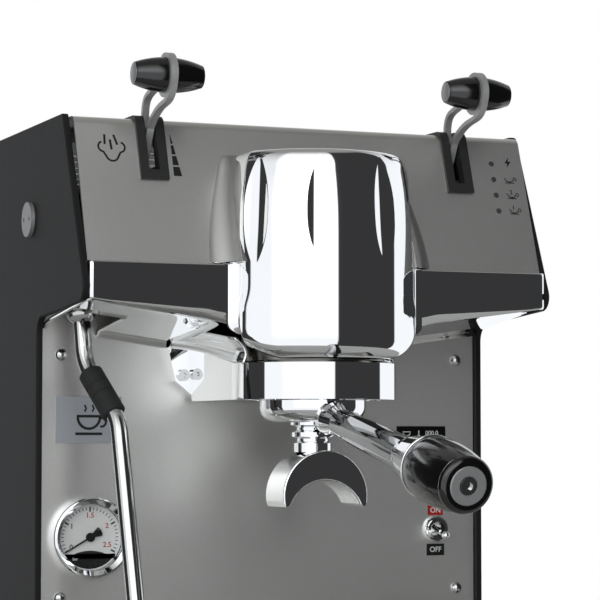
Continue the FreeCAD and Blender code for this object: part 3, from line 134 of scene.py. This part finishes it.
FLOOR_RADIUS = 0.55
floor_mesh = bpy.data.meshes.new("floor")
rim = [(FLOOR_RADIUS * math.cos(math.radians(turn)), FLOOR_RADIUS * math.sin(math.radians(turn)), 0)
       for turn in range(0, 360, 3)]
floor_mesh.from_pydata(rim, [], [range(len(rim))])
floor = bpy.data.objects.new("floor", floor_mesh)
bpy.context.scene.collection.objects.link(floor)


def surface(name, dark, light, grain, rough, relief=0.0, stretch=(1, 1, 1), sockets=()):
    """A material whose colour and roughness wander between two values over a grain in millimetres.
    relief is the depth of its texture in millimetres; sockets sets the shader's other inputs."""
    made = bpy.data.materials.new(name)
    made.use_nodes = True
    tree = made.node_tree
    tree.nodes.clear()
    shader = add_node(tree, "ShaderNodeBsdfPrincipled", dict(sockets))
    add_node(tree, "ShaderNodeOutputMaterial", {0: shader.outputs[0]})
    spot = add_node(tree, "ShaderNodeTexCoord")
    squeezed = add_node(tree, "ShaderNodeMapping", {0: spot.outputs["Object"], 3: stretch})
    grains = add_node(tree, "ShaderNodeTexNoise", {0: squeezed.outputs[0], "Scale": 1000 / grain,
                                                   "Detail": 3.0, "Roughness": 0.6})
    mixed = add_node(tree, "ShaderNodeMix", {0: grains.outputs[0], 6: linear(dark), 7: linear(light)},
                     data_type="RGBA")
    dull = add_node(tree, "ShaderNodeMapRange", {0: grains.outputs[0], 1: 0.3, 2: 0.7, 3: rough[0], 4: rough[1]})
    tree.links.new(mixed.outputs[2], shader.inputs["Base Color"])
    tree.links.new(dull.outputs[0], shader.inputs["Roughness"])
    if relief:
        bumps = add_node(tree, "ShaderNodeBump", {"Height": grains.outputs[0], "Distance": relief / 1000,
                                                  "Strength": 1.0})
        tree.links.new(bumps.outputs[0], shader.inputs["Normal"])
    return made


floor_mesh.materials.append(surface("painted_board", "#D2D2CF", "#D9D9D6", 400.0, (0.55, 0.65)))

# ---------------------------------------------------------------- side panels
# Two laser-cut steel plates in fine matt black powder coat carry the whole casing. Each is held by
# two round satin discs, screwed through their pairs of holes.


def corners(node):
    """Lowest and highest corner of a CAD piece, in millimetres."""
    return [Vector(corner) * 1000 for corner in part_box(node)]


def dress(material, *nodes):
    """Give CAD pieces their finish."""
    for node in nodes:
        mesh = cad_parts[node].data
        mesh.materials.clear()
        mesh.materials.append(material)


METAL = {"Metallic": 1.0}
# Powder coat: an orange-peel skin of fused grains, about 0.6 mm across, that breaks up every highlight.
powder_coat = surface("powder_coated_steel", "#0E0E0F", "#161617", 0.6, (0.55, 0.68), 0.03,
                      sockets={"Specular IOR Level": 0.3})
dress(powder_coat, "side_panel_left", "side_panel_right", "back_panel", "base_frame")
# Polished stainless steel: bright, with the faintest haze left by the mop.
polished_steel = surface("polished_stainless", "#C9C9C8", "#D6D6D5", 6.0, (0.08, 0.16), sockets=METAL)
dress(polished_steel, "panel_screws")
# Anodised aluminium: flat grey, satin, finely turned.
anodised = surface("satin_anodised_aluminium", "#9A9A9A", "#A8A8A8", 0.8, (0.42, 0.52),
                   sockets={"Metallic": 0.6})
dress(anodised, "side_discs")

# ---------------------------------------------------------------- fascia and top
# One stainless sheet slopes over the controls and folds back over the top; its satin finish is
# blasted with fine glass bead, so it glows softly and shows a fine even speckle.
satin_steel = surface("bead_blasted_stainless", "#DEDEDA", "#EAEAE6", 0.9, (0.36, 0.43), 0.004, sockets=METAL)
dress(satin_steel, "fascia", "front_panel", "top_cover", "cup_tray")
foot, head = corners("fascia")
FASCIA_LEAN = 27.0
fascia_slope = FASCIA_LEAN / (head.z - foot.z)
fascia_tilt = math.atan(fascia_slope)


def fascia_y(height):
    """Where the fascia's face lies at a height."""
    return foot.y + fascia_slope * (height - foot.z)


def solid(name, points, faces, material, body, smooth=True):
    """A piece from points in millimetres, riding on a body."""
    mesh = bpy.data.meshes.new(name)
    mesh.from_pydata([Vector(spot) / 1000 for spot in points], [], faces)
    made = bpy.data.objects.new(name, mesh)
    bpy.context.scene.collection.objects.link(made)
    tidy = bmesh.new()
    tidy.from_mesh(mesh)
    bmesh.ops.recalc_face_normals(tidy, faces=tidy.faces)
    tidy.to_mesh(mesh)
    tidy.free()
    mesh.polygons.foreach_set("use_smooth", [smooth] * len(mesh.polygons))
    mesh.materials.append(material)
    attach(made, body)
    return made


# Printed marks: thin ink laid on the sheet, each a flat plate a tenth of a millimetre thick.
INK = 0.1
# Screen ink: matt, nearly black, with the faint grain of the mesh.
black_ink = surface("screen_print_ink", "#0B0B0A", "#12120F", 0.5, (0.45, 0.55))


def marks(name, outlines, at, right, up, material, slot, body="machine"):
    """Flat marks from outlines drawn in a plane: at is its origin, right and up its directions."""
    right, up = Vector(right).normalized(), Vector(up).normalized()
    out = right.cross(up)
    points, faces = [], []
    for outline in outlines:
        start, count = len(points), len(outline)
        for lift in (0.02, INK):
            points += [Vector(at) + right * x + up * y + out * lift for x, y in outline]
        faces.append(list(range(start, start + count)))
        faces.append(list(range(start + count, start + 2 * count)))
        for step in range(count):
            near, far = start + step, start + (step + 1) % count
            faces.append((near, far, far + count, near + count))
    return solid(name, points, faces, material, body, smooth=False)


def stroke(line, width):
    """The outlines of a pen line of even width along points in a plane."""
    spots = [Vector(spot) for spot in line]
    edges = [[], []]
    for step, spot in enumerate(spots):
        before, after = spots[max(step - 1, 0)], spots[min(step + 1, len(spots) - 1)]
        along = (after - before).normalized()
        across = Vector((-along.y, along.x)) * width / 2
        edges[0].append(spot + across)
        edges[1].append(spot - across)
    return [(a, b, c, d) for a, b, c, d in zip(edges[0], edges[0][1:], edges[1][1:], edges[1])]


def arc(centre, radius, start, end, steps=10):
    """Points along an arc, angles in degrees from the right, counter-clockwise."""
    return [(centre[0] + radius * math.cos(math.radians(start + (end - start) * step / steps)),
             centre[1] + radius * math.sin(math.radians(start + (end - start) * step / steps)))
            for step in range(steps + 1)]


on_fascia = ((1, 0, 0), (0, math.sin(fascia_tilt), math.cos(fascia_tilt)))


def fascia_marks(name, outlines, x, height):
    return marks(name, outlines, (x, fascia_y(height), height), *on_fascia, black_ink, "matt_plastic")


PEN = 1.1
cloud = (arc((-4.6, 0.6), 3.1, 110, 262) + arc((-0.1, -4.3), 3.5, 195, 345, 12)
         + arc((4.4, 0.6), 3.1, -82, 70))
steam = [[(-3.6, 8.0), (-3.9, 2.0)], [(-0.7, 5.0), (-0.2, -1.0)], [(1.6, 8.0), (3.3, 2.0)]]
fascia_marks("steam_symbol", stroke(cloud, PEN) + [bar for line in steam for bar in stroke(line, 1.25)],
             -116.0, 372.2)
WEDGE_FOOT, WEDGE_TOP, WEDGE_BARS = -13.5, 12.5, 4
wedge = []
for bar in range(WEDGE_BARS):
    low = WEDGE_FOOT + bar * (WEDGE_TOP - WEDGE_FOOT) / WEDGE_BARS
    high = low + (WEDGE_TOP - WEDGE_FOOT) / WEDGE_BARS - 1.0
    wide, narrow = [4.6 * (WEDGE_TOP - y) / (WEDGE_TOP - WEDGE_FOOT) + 0.1 for y in (low, high)]
    wedge.append([(0, low), (wide, low), (narrow, high), (0, high)])
fascia_marks("steam_wedge", wedge, -81.6, 370.6)
bolt = [[(0.9, 3.4), (-1.9, -0.5), (-0.2, -0.5), (-0.9, -3.4), (2.1, 0.7), (0.3, 0.7)]]
fascia_marks("power_symbol", bolt, 127.0, 374.9)
cup = (stroke(arc((0, 1.4), 3.0, 190, 350), 0.55) + stroke([(-2.9, -2.2), (2.9, -2.2)], 0.55)
       + stroke(arc((3.5, 0.2), 1.0, -120, 130, 8), 0.5))
for number, height in (("manual", 364.6), ("double", 355.2), ("single", 345.9)):
    fascia_marks(f"{number}_cup_symbol", cup, 126.4, height)


def lettering(name, text, size, at, right, up, material, slot, body="machine"):
    """Raised print: text centred on a point of a plane, size being its capital height in mm."""
    made = bpy.data.objects.new(name, bpy.data.curves.new(name, "FONT"))
    made.data.body = text
    made.data.size = size / 1000 / 0.7
    made.data.extrude = INK / 2000
    made.data.offset = size * 0.02 / 1000
    made.data.align_x = "CENTER"
    made.data.align_y = "CENTER"
    made.data.resolution_u = 4
    made.data.materials.append(material)
    right, up = Vector(right).normalized(), Vector(up).normalized()
    out = right.cross(up)
    place = (Vector(at) + out * INK / 2) / 1000
    made.matrix_world = Matrix.Translation(place) @ Matrix((right, up, out)).transposed().to_4x4()
    bpy.context.scene.collection.objects.link(made)
    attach(made, body)


for text, height in (("2", 356.8), ("1", 347.5)):
    lettering(f"numeral_{text}", text, 2.6, (126.2, fascia_y(height), height), *on_fascia, black_ink,
              "matt_plastic")

# ---------------------------------------------------------------- group cover
# The group cover is a pressed barrel with a bright chrome plate. It is flat on top, swells to a
# rolled foot, has four almond flutes, and flares out at the back to meet the fascia.
# Chrome plate: a mirror, faintly blue, with only a trace of haze from wiping.
chrome = surface("chrome_plate", "#F8F9FA", "#FCFDFE", 30.0, (0.015, 0.035), sockets=METAL)
ring_low, ring_high = corners("bayonet_ring")
group_y = (ring_low.y + ring_high.y) / 2
cover_low, cover_high = corners("group_cover")
ARC_RADIUS, ARC_BACK, ARC_END = 58.0, 3.0, 62.0  # front arc, its centre behind the axis, its end in degrees
CORNER_RADIUS = 8.0                              # the arc that turns from the front to the flank
COVER_LINE = (                                   # distance inside the full section, height above the foot
    (14.0, 0.6), (9.6, 0.2), (7.2, 0.6), (4.6, 1.7), (2.6, 3.4), (1.1, 5.7), (0.3, 8.2), (0.0, 11.5),
    (0.0, 20.0), (0.0, 40.0), (0.0, 50.5), (0.0, 54.5), (0.0, 62.0), (0.2, 74.0), (0.9, 86.0),
    (2.1, 96.0), (3.5, 104.0), (4.6, 109.0), (6.0, 112.4), (8.0, 114.2), (11.0, 114.5))


def smooth_line(knots, steps):
    """Points along a smooth curve through the knots."""
    spots = [Vector(knot) for knot in knots]
    spots = [2 * spots[0] - spots[1]] + spots + [2 * spots[-1] - spots[-2]]
    line = []
    for a, b, c, d in zip(spots, spots[1:], spots[2:], spots[3:]):
        for step in range(steps):
            t = step / steps
            line.append(0.5 * (2 * b + (c - a) * t + (2 * a - 5 * b + 4 * c - d) * t ** 2
                               + (3 * b - a - 3 * c + d) * t ** 3))
    return line + [spots[-2]]


def ease(value, low, high):
    """A smooth step from zero at low to one at high."""
    t = min(1.0, max(0.0, (value - low) / (high - low)))
    return t * t * (3 - 2 * t)


FLUTES = (-54.5, -17.0, 23.0, 60.5)              # round the section from its front, in millimetres
FLUTE_MIDDLE, FLUTE_HALF = cover_low.z + 80.7, 31.5
FLUTE_WIDTH = 7.8                                # half-width at the middle
FLUTE_HOLLOW = 0.5 * (1 / 25 + 1 / ARC_RADIUS)
band_y = foot.y - 5.0                            # the fairing's upright face
FLANK_SWELL, FOOT_RISE = 1.2, 13.0               # the foot's flanks swell out and its rim rises there
FRONT_STEPS, CORNER_STEPS, BACK_STEPS, FLARE_STEPS = 200, 60, 8, 24
FLARE_START = FRONT_STEPS + CORNER_STEPS + BACK_STEPS    # the point of the section where the flare begins
FRONT_REACH = 70                                 # past this distance round, the section is all flare, in mm


def flute_depth(along, height):
    """How deep the flutes are at a place on the barrel."""
    reach = FLUTE_WIDTH * (1 - abs((height - FLUTE_MIDDLE) / FLUTE_HALF) ** 2.4)
    nearest = min(abs(along - flute) for flute in FLUTES)
    return max(0.0, reach ** 2 - nearest ** 2) * FLUTE_HOLLOW if reach > 0 else 0.0


def wall_behind(height):
    """The face that the barrel flares into: the fascia above, the fairing's band below."""
    face = fascia_y(max(height, foot.z))
    return face + (band_y - face) * ease(foot.z + 1.0 - height, 0, 1.5)


def half_section(inside, height):
    """Right half of the barrel's section: (x, y, normal angle, distance round) from front to wall."""
    middle_y = group_y + ARC_BACK
    line = []
    for step in range(FRONT_STEPS + 1):
        turn = ARC_END * step / FRONT_STEPS
        line.append((0, middle_y, ARC_RADIUS - inside, turn, ARC_RADIUS * math.radians(turn)))
    corner = max(1.0, CORNER_RADIUS - inside)
    reach = ARC_RADIUS - inside - corner
    corner_x = reach * math.sin(math.radians(ARC_END))
    corner_y = middle_y - reach * math.cos(math.radians(ARC_END))
    wall = wall_behind(height)
    crease = ease(foot.z + 1.0 - height, 0.0, 1.5)
    turn_end = 90.0 - 12.0 * crease
    flare_turn = 90.0 - 40.0 * crease
    flare = 14.0 - 7.0 * ease(height, foot.z, cover_high.z)
    room = wall - (corner_y - corner * math.cos(math.radians(turn_end)))
    if crease:
        flare += (max(1.0, room) / (1 - math.cos(math.radians(flare_turn))) - flare) * crease
    start = ARC_RADIUS * math.radians(ARC_END)
    for step in range(1, CORNER_STEPS + 1):
        turn = ARC_END + (turn_end - ARC_END) * step / CORNER_STEPS
        line.append((corner_x, corner_y, corner, turn, start + CORNER_RADIUS * math.radians(turn - ARC_END)))
    points = [(x + radius * math.sin(math.radians(turn)), y - radius * math.cos(math.radians(turn)), turn, along)
              for x, y, radius, turn, along in line]
    last_x, last_y, _, along = points[-1]
    back = max(0.0, room - flare * (1 - math.cos(math.radians(flare_turn))))
    for step in range(1, BACK_STEPS + 1):
        points.append((last_x, last_y + back * step / BACK_STEPS, turn_end, along + back * step / BACK_STEPS))
    centre_x = last_x + flare * math.sin(math.radians(flare_turn))
    for step in range(1, FLARE_STEPS + 1):
        turn = flare_turn * (1 - step / FLARE_STEPS)
        points.append((centre_x - flare * math.sin(math.radians(turn)),
                       wall - flare + flare * math.cos(math.radians(turn)), turn, along + back + 20))
    return points


points, faces, flare_points, flare_faces = [], [], [], []
rows = smooth_line(COVER_LINE, 8)
for inside, rise in rows:
    height = cover_low.z + rise
    half = half_section(inside, max(height, cover_low.z + 20))
    row = []
    for x, y, turn, along in half:
        flank = ease(turn if along < FRONT_REACH else 90, 38, 88)
        swell = FLANK_SWELL * ease(flank, 0, 1) * ease(cover_low.z + 40 - height, 0, 14)
        if along >= FRONT_REACH:
            swell = 0
        lifted = height + FOOT_RISE * flank * max(0.0, 1 - rise / 34)
        row.append((x, y, turn, along, swell, lifted))
    left, right = [], []
    for side, spots in ((-1, left), (1, right)):
        for x, y, turn, along, swell, lifted in row:
            dent = flute_depth(side * along, lifted) - swell
            lean = math.radians(turn)
            spots.append((side * (x - dent * math.sin(lean)), y + dent * math.cos(lean), lifted))
    if height > foot.z + 1.0:
        flare_points += left[FLARE_START:] + right[FLARE_START:]
        for spots in (left, right):
            spots[FLARE_START + 1:] = [spots[FLARE_START]] * FLARE_STEPS
    points += list(reversed(left[1:])) + right
columns = len(points) // len(rows)
strip = FLARE_STEPS + 1
for row in range(len(flare_points) // (2 * strip) - 1):
    for side in (0, strip):
        for column in range(strip - 1):
            near = row * 2 * strip + side + column
            flare_faces.append((near, near + 1, near + 1 + 2 * strip, near + 2 * strip))
for row in range(len(rows) - 1):
    for column in range(columns - 1):
        near = row * columns + column
        faces.append((near, near + 1, near + 1 + columns, near + columns))
faces.append(list(range((len(rows) - 1) * columns, len(rows) * columns)))
cover = solid("group_cover_barrel", points, faces, chrome, "machine")
weld = bmesh.new()
weld.from_mesh(cover.data)
bmesh.ops.remove_doubles(weld, verts=weld.verts, dist=0.00001)
weld.to_mesh(cover.data)
weld.free()
# The fascia is drawn out into a collar round the barrel; its satin steel is painted darker than the fascia's, a
# painted reflection standing in for the grey that the flare mirrors from the fascia and the roof.
flare_steel_painted_dark = surface("satin_stainless_painted_dark", "#A6A6A3", "#B2B2AF", 1.2, (0.4, 0.5), 0.004, sockets=METAL)
solid("fascia_flare", flare_points, flare_faces, flare_steel_painted_dark, "machine")
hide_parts("group_cover")

# ---------------------------------------------------------------- fairing
# The fairing is a chromed pressing under the fascia. Its upright band ends in a folded lip that
# falls from the side panels to the group, and its underside runs back to the front panel.
panel_face = corners("front_panel")[0].y
fair_high = corners("lower_fairing")[1]
port_low, port_high = corners("wand_socket")
side_x = fair_high.x
MIDDLE_X = 64.0
BAND_LINE = ((0.2, 0.0), (-4.2, -0.2), (-4.9, -0.8), (-5.0, -2.2))        # top edge of the band


def fairing_line(x):
    """The fairing's section at one place across the machine: (y, z) points from top to back."""
    out = min(1.0, max(0.0, (abs(x) - MIDDLE_X) / (side_x - MIDDLE_X)))
    lip = 275.6 + 2.6 * ease(abs(x), 52, 70) + 9.6 * out
    fold = 4.6 - 4.0 * min(1.0, out / 0.86)
    line = [(foot.y + y, fair_high.z + z) for y, z in BAND_LINE]
    line += [(band_y, lip + fold + 1.2), (band_y + 0.1, lip + fold + 0.3), (band_y + 0.5, lip + fold - 0.3),
             (band_y + 0.72 * fold + 0.3, lip + 0.3), (band_y + 0.72 * fold + 0.8, lip - 0.1),
             (band_y + 0.72 * fold + 1.6, lip)]
    under = 269.0 + 10.0 * out
    for step in range(1, 9):
        share = step / 9
        line.append((band_y + 5.2 + (panel_face - 9 - band_y - 5.2) * share,
                     lip + 0.3 + (under - lip - 0.3) * share))
    line += [(panel_face - 9, under), (panel_face - 4.4, under - 0.8), (panel_face - 3.4, under - 3.0),
             (panel_face - 0.4, under - 3.0)]
    return line


stations = sorted({side_x * step / 60 for step in range(-60, 61)} | {port_low.x - 1.5, port_high.x + 1.5})
points, faces = [], []
for x in stations:
    points += [(x, y, z) for y, z in fairing_line(x)]
count = len(fairing_line(0))
for station, (left, right) in enumerate(zip(stations, stations[1:])):
    for step in range(count - 1):
        near = station * count + step
        middle = Vector(points[near]).lerp(Vector(points[near + 1 + count]), 0.5)
        if port_low.x - 1.5 < middle.x < port_high.x + 1.5 and port_low.y - 4 < middle.y:
            continue
        faces.append((near, near + count, near + 1 + count, near + 1))
fairing = solid("fairing_shell", points, faces, chrome, "machine")
wall = fairing.modifiers.new("wall", "SOLIDIFY")
wall.thickness = 0.0015
wall.offset = -1
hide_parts("lower_fairing")

# ---------------------------------------------------------------- group arm, collar and inner group
# The arm is a chromed casting from the boiler to the collar, which holds the bayonet ring.
dress(chrome, "group_arm")
arm_low = corners("group_arm")[0]
# The arm's shoulders close the space up to the fairing: a web on each side, hollowed like a saddle.
SHOULDER = (                                     # distance out, distance before the panel, foot, head
    (62.0, 7.4, 265.8, 275.4), (60.0, 12.0, 265.4, 275.2), (56.5, 22.0, 264.2, 274.6),
    (53.2, 36.0, 262.3, 273.8),
    (50.6, 52.0, 259.6, 272.6), (48.8, 66.0, 257.2, 271.0), (47.6, 76.0, 255.6, 269.6),
    (45.5, 84.0, 254.8, 268.6))
WEB_STEPS = 12
for side, name in ((-1, "left"), (1, "right")):
    shoulder = smooth_line(SHOULDER, 6)
    points, faces = [], []
    for out, before, low, high in shoulder:
        for step in range(WEB_STEPS + 1):
            share = step / WEB_STEPS
            hollow = 2.6 * math.sin(math.pi * share) - 5.0 * share ** 2
            points.append((side * (out - hollow), panel_face - before, low + (high - low) * share))
    for row in range(len(shoulder) - 1):
        for step in range(WEB_STEPS):
            near = row * (WEB_STEPS + 1) + step
            faces.append((near, near + 1, near + WEB_STEPS + 2, near + WEB_STEPS + 1))
    web = solid(f"arm_shoulder_{name}", points, faces, chrome, "machine")
    thick = web.modifiers.new("wall", "SOLIDIFY")
    thick.thickness = 0.0012
    thick.offset = 0
dress(polished_steel, "group_arm_screws", "shower_screen")
dress(chrome, "bayonet_ring")
# Turned brass: warm yellow metal with a fine uneven grain.
brass = surface("turned_brass", "#A98647", "#C2A05C", 1.2, (0.22, 0.34), sockets=METAL)
# Nickel plate: warm grey, softly shiny, a little uneven.
nickel = surface("nickel_plated_brass", "#8E8C86", "#9C9A94", 2.0, (0.25, 0.35), sockets=METAL)
dress(nickel, "group_boiler")
dress(brass, "steam_valve", "water_inlet")
# Moulded rubber: near-black, dry, with a soft sheen.
rubber = surface("moulded_rubber", "#1B1B1B", "#262626", 1.5, (0.62, 0.78), 0.02)
dress(rubber, "feet", "group_gasket")

# ---------------------------------------------------------------- levers
# Each lever is a flat stainless strap looped round a black barrel knob and slotted into a moulded
# bezel; the knob's ends are closed by satin grey discs.
# Spark-textured ABS: dark grey, dull, with a fine pebble.
abs_plastic = surface("textured_abs", "#1C1C1C", "#292929", 0.8, (0.45, 0.58), 0.03)
dress(abs_plastic, "lever_bezel_left", "lever_bezel_right", "wand_socket", "control_box", "mains_inlet")
# Brushed strap: pale grey with short scratches along its length.
strap_steel = surface("brushed_strap_steel", "#B4B4B2", "#CCCCCA", 1.2, (0.42, 0.56), stretch=(1, 0.1, 0.1),
                      sockets={"Metallic": 0.7})
dress(strap_steel, "steam_lever", "brew_lever", "lever_brackets")
# Polished phenolic: deep black and glassy, with faint handling marks.
phenolic = surface("polished_phenolic", "#070707", "#0D0D0D", 9.0, (0.1, 0.17),
                   sockets={"IOR": 1.62, "Coat Weight": 0.3, "Coat Roughness": 0.06})
dress(phenolic, "steam_lever_knob", "brew_lever_knob")


def turned(name, outline, at, axis, material, body, steps=64):
    """A piece turned on a lathe: (radius, distance) points spun about an axis from a point."""
    spin = Vector(axis).normalized().to_track_quat("Z", "Y")
    points, faces = [], []
    for radius, along in outline:
        for step in range(steps):
            turn = 2 * math.pi * step / steps
            points.append(Vector(at) + spin @ Vector((radius * math.cos(turn), radius * math.sin(turn), along)))
    for row in range(len(outline) - 1):
        for step in range(steps):
            near, far = row * steps + step, row * steps + (step + 1) % steps
            faces.append((near, far, far + steps, near + steps))
    faces.append(list(range(steps)))
    faces.append(list(range((len(outline) - 1) * steps, len(outline) * steps)))
    return solid(name, points, faces, material, body)


for body in ("steam_lever", "brew_lever"):
    knob_low, knob_high = corners(f"{body}_knob")
    knob_mid = (knob_low + knob_high) / 2
    for side, x in ((-1, knob_low.x), (1, knob_high.x)):
        turned(f"{body}_disc_{'right' if side > 0 else 'left'}",
               ((5.2, -0.6), (5.2, 0.1), (5.0, 0.25), (0.1, 0.3)), (x, knob_mid.y, knob_mid.z), (side, 0, 0),
               anodised, body, 40)
# Tinted lenses: smoky grey and glossy while unlit.
lamp_lens = surface("tinted_polycarbonate", "#3A3A3A", "#505050", 1.5, (0.1, 0.2))
dress(lamp_lens, "status_lamps")

# ---------------------------------------------------------------- portafilter
# The cup, nut and spout are chromed brass; the handle has a dark chromed neck, a flared chrome
# ferrule with a bright rolled bead, and a polished black grip closed by a disc and a socket screw.
dress(chrome, "portafilter_cup", "spout_nut", "portafilter_spout")
# Smoked chrome: a darker mirror than the rest.
dark_chrome = surface("smoked_chrome", "#8C8C8D", "#9A9A9B", 20.0, (0.03, 0.06), sockets=METAL)
dress(dark_chrome, "handle_neck", "handle_ferrule")
dress(phenolic, "handle_grip")
dress(anodised, "handle_end_disc")
HANDLE_FALL = math.radians(11.5)
handle_way = Vector((0, -math.cos(HANDLE_FALL), -math.sin(HANDLE_FALL)))
handle_root = Vector((0, group_y, arm_low.z - 4.8))
spots = [vertex.co * 1000 - handle_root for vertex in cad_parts["handle_ferrule"].data.vertices]
widest = max((((spot - handle_way * spot.dot(handle_way)).length, spot.dot(handle_way)) for spot in spots))
BEAD = 0.7
bead = [(widest[0] - 0.35 + BEAD * math.cos(math.radians(turn)), widest[1] + BEAD * math.sin(math.radians(turn)))
        for turn in range(-100, 101, 20)]
turned("ferrule_bead", bead, handle_root, handle_way, chrome, "portafilter", 96)
dress(polished_steel, "handle_screw", "filter_basket")

# ---------------------------------------------------------------- steam wand
# The wand is a bent tube of polished stainless steel with a screwed tip. It hangs from a ball in a
# moulded socket, and a rubber sleeve is pushed over it to hold it by.
dress(polished_steel, "steam_wand", "wand_tip", "wand_ball")
dress(rubber, "wand_grip")

# ---------------------------------------------------------------- front panel fittings
# An enamelled aluminium plate, a black glass display, a toggle switch between two enamelled labels
# and the boiler gauge sit on the front panel.
FLAT = ((1, 0, 0), (0, 0, 1))
# Enamels: even, slightly satin colours with a faint orange peel.
plate_enamel = surface("pale_enamel", "#9DA1A6", "#A5A9AE", 0.8, (0.35, 0.45))
dress(plate_enamel, "name_plate")
plate_low, plate_high = corners("name_plate")
plate_mid = (plate_low + plate_high) / 2
big_cup = (stroke(arc((0, 1.5), 6.6, 182, 358, 20), 1.5) + stroke([(-7.2, 2.0), (7.2, 2.0)], 1.5)
           + stroke(arc((7.6, -1.4), 2.5, -110, 120, 12), 1.3) + stroke([(-8.0, -8.0), (8.0, -8.0)], 1.5)
           + stroke([(-2.6, 4.6), (-1.6, 6.4), (-2.6, 8.4)], 1.1)
           + stroke([(2.0, 4.6), (3.0, 6.4), (2.0, 8.4)], 1.1))
marks("plate_cup_symbol", big_cup, (plate_mid.x, plate_low.y, plate_mid.z), *FLAT, black_ink, "matt_plastic")
# White ink: flat, thinly printed, very slightly grey where the black shows through.
white_ink = surface("white_screen_print", "#D8D8D6", "#ECECEA", 0.5, (0.5, 0.6))
dress(phenolic, "display_window")
window_low, window_high = corners("display_window")
for name, height in (("temperature", -4.2), ("pressure", -9.6)):
    lettering(f"{name}_digits", "000.0", 2.7, (window_low.x + 23.2, window_low.y, window_high.z + height), *FLAT,
              white_ink, "label_plastic")
thermometer = stroke([(0, -1.2), (0, 1.6)], 0.7) + [arc((0, -1.3), 0.8, 0, 330, 10)]
dial_mark = stroke(arc((0, 0), 1.5, -40, 220, 14), 0.45) + stroke([(0, 0), (1.0, 1.0)], 0.45)
group_mark = stroke(arc((0, 1.4), 2.6, 200, 340, 10), 0.6) + stroke([(-2.6, 1.2), (2.6, 1.2)], 0.5) \
    + stroke([(0, -1.1), (0, -2.2)], 0.6)
for name, drawing, x, height in (("thermometer", thermometer, 14.6, -4.2), ("pressure", dial_mark, 14.6, -9.6),
                                 ("group", group_mark, 6.6, -4.6)):
    marks(f"{name}_mark", drawing, (window_low.x + x, window_low.y, window_high.z + height), *FLAT, white_ink,
          "label_plastic")
dress(polished_steel, "switch_body")
dress(chrome, "switch_nut", "switch_lever")
# Black enamel: nearly black, satin.
black_enamel = surface("black_enamel", "#0E0E0F", "#161617", 0.8, (0.3, 0.4))
dress(black_enamel, "switch_labels")
label_low, label_high = corners("switch_labels")
label_x = (label_low.x + label_high.x) / 2
# Red enamel: a deep even red with the same soft shine.
red_enamel = surface("red_enamel", "#A91E1B", "#B52622", 0.8, (0.3, 0.4))
on_plate = [(-4.9, -2.9), (4.9, -2.9), (4.9, 2.9), (-4.9, 2.9)]
marks("on_label_field", [on_plate], (label_x, label_low.y, 170.4), *FLAT, red_enamel, "label_plastic")
for text, height in (("ON", 170.4), ("OFF", 146.8)):
    lettering(f"{text.lower()}_lettering", text, 3.1, (label_x, label_low.y - INK, height), *FLAT, white_ink,
              "label_plastic")
# Gauge: chromed bezel, matt pale dial printed in black and red, black pointer, glass. The dial's card is
# an even white that shines only softly.
dial_card = surface("matt_white_enamel", "#F4F4F1", "#FAFAF7", 8.0, (0.5, 0.6))
dress(dial_card, "gauge_dial")
dress(powder_coat, "gauge_case")
dress(chrome, "gauge_bezel")
# Pointer paint: dull black with a trace of brown.
pointer_paint = surface("black_pointer_paint", "#0B0A09", "#151310", 0.6, (0.35, 0.45))
dress(pointer_paint, "gauge_pointer")
dial_low, dial_high = corners("gauge_dial")
dial_mid = ((dial_low.x + dial_high.x) / 2, dial_low.y, (dial_low.z + dial_high.z) / 2)


def dial_spot(degrees, radius):
    """A point of the dial, degrees clockwise from the top."""
    return radius * math.sin(math.radians(degrees)), radius * math.cos(math.radians(degrees))


major = [stroke([dial_spot(at, 14.5), dial_spot(at, 17.2)], 0.9)[0] for at in range(-120, 121, 60)]
minor = [stroke([dial_spot(at / 2, 15.4), dial_spot(at / 2, 17.0)], 0.4)[0]
         for at in range(-240, 241, 15) if at % 120]
marks("dial_ticks", major + minor, dial_mid, *FLAT, black_ink, "dial_paint")
lens = [dial_spot(at, 17.9) for at in range(122, 239, 4)] \
    + [(x, -7.6 - 4.3 * (x / 14.5) ** 2) for x in (-15.0, -11, -7, -3.5, 0, 3.5, 7, 11, 15.0)]
marks("dial_field", [lens], dial_mid, *FLAT, black_ink, "dial_paint")
# Red ink: brick red, matt.
red_ink = surface("red_screen_print", "#B8382F", "#C4443A", 0.5, (0.5, 0.6))
for text, at, radius, ink in (("0", -117, 12.4, black_ink), ("1", -60, 12.4, black_ink), ("1.5", 0, 12.4, red_ink),
                              ("2", 58, 12.0, red_ink), ("2.5", 113, 11.2, red_ink)):
    x, z = dial_spot(at, radius)
    lettering(f"dial_number_{text}", text, 2.9, (dial_mid[0] + x, dial_mid[1], dial_mid[2] + z), *FLAT, ink,
              "dial_paint")
lettering("dial_unit", "bar", 1.7, (dial_mid[0] - 8.6, dial_mid[1] - INK, dial_mid[2] - 12.2), *FLAT, white_ink,
          "dial_paint")
# Float glass: clear and nearly without colour.
glass = surface("float_glass", "#FFFFFF", "#FCFEFE", 40.0, (0.0, 0.01),
                sockets={"Transmission Weight": 1.0, "IOR": 1.1})
dress(glass, "gauge_glass")

# ---------------------------------------------------------------- base and inside
# The drip tray is folded from the same sheet as the fascia and lies under a punched grille. The
# boiler and the pump stand inside the casing and are seen only when it is open.
dress(satin_steel, "drip_tray", "drip_grille", "steam_boiler")
dress(powder_coat, "pump_unit")
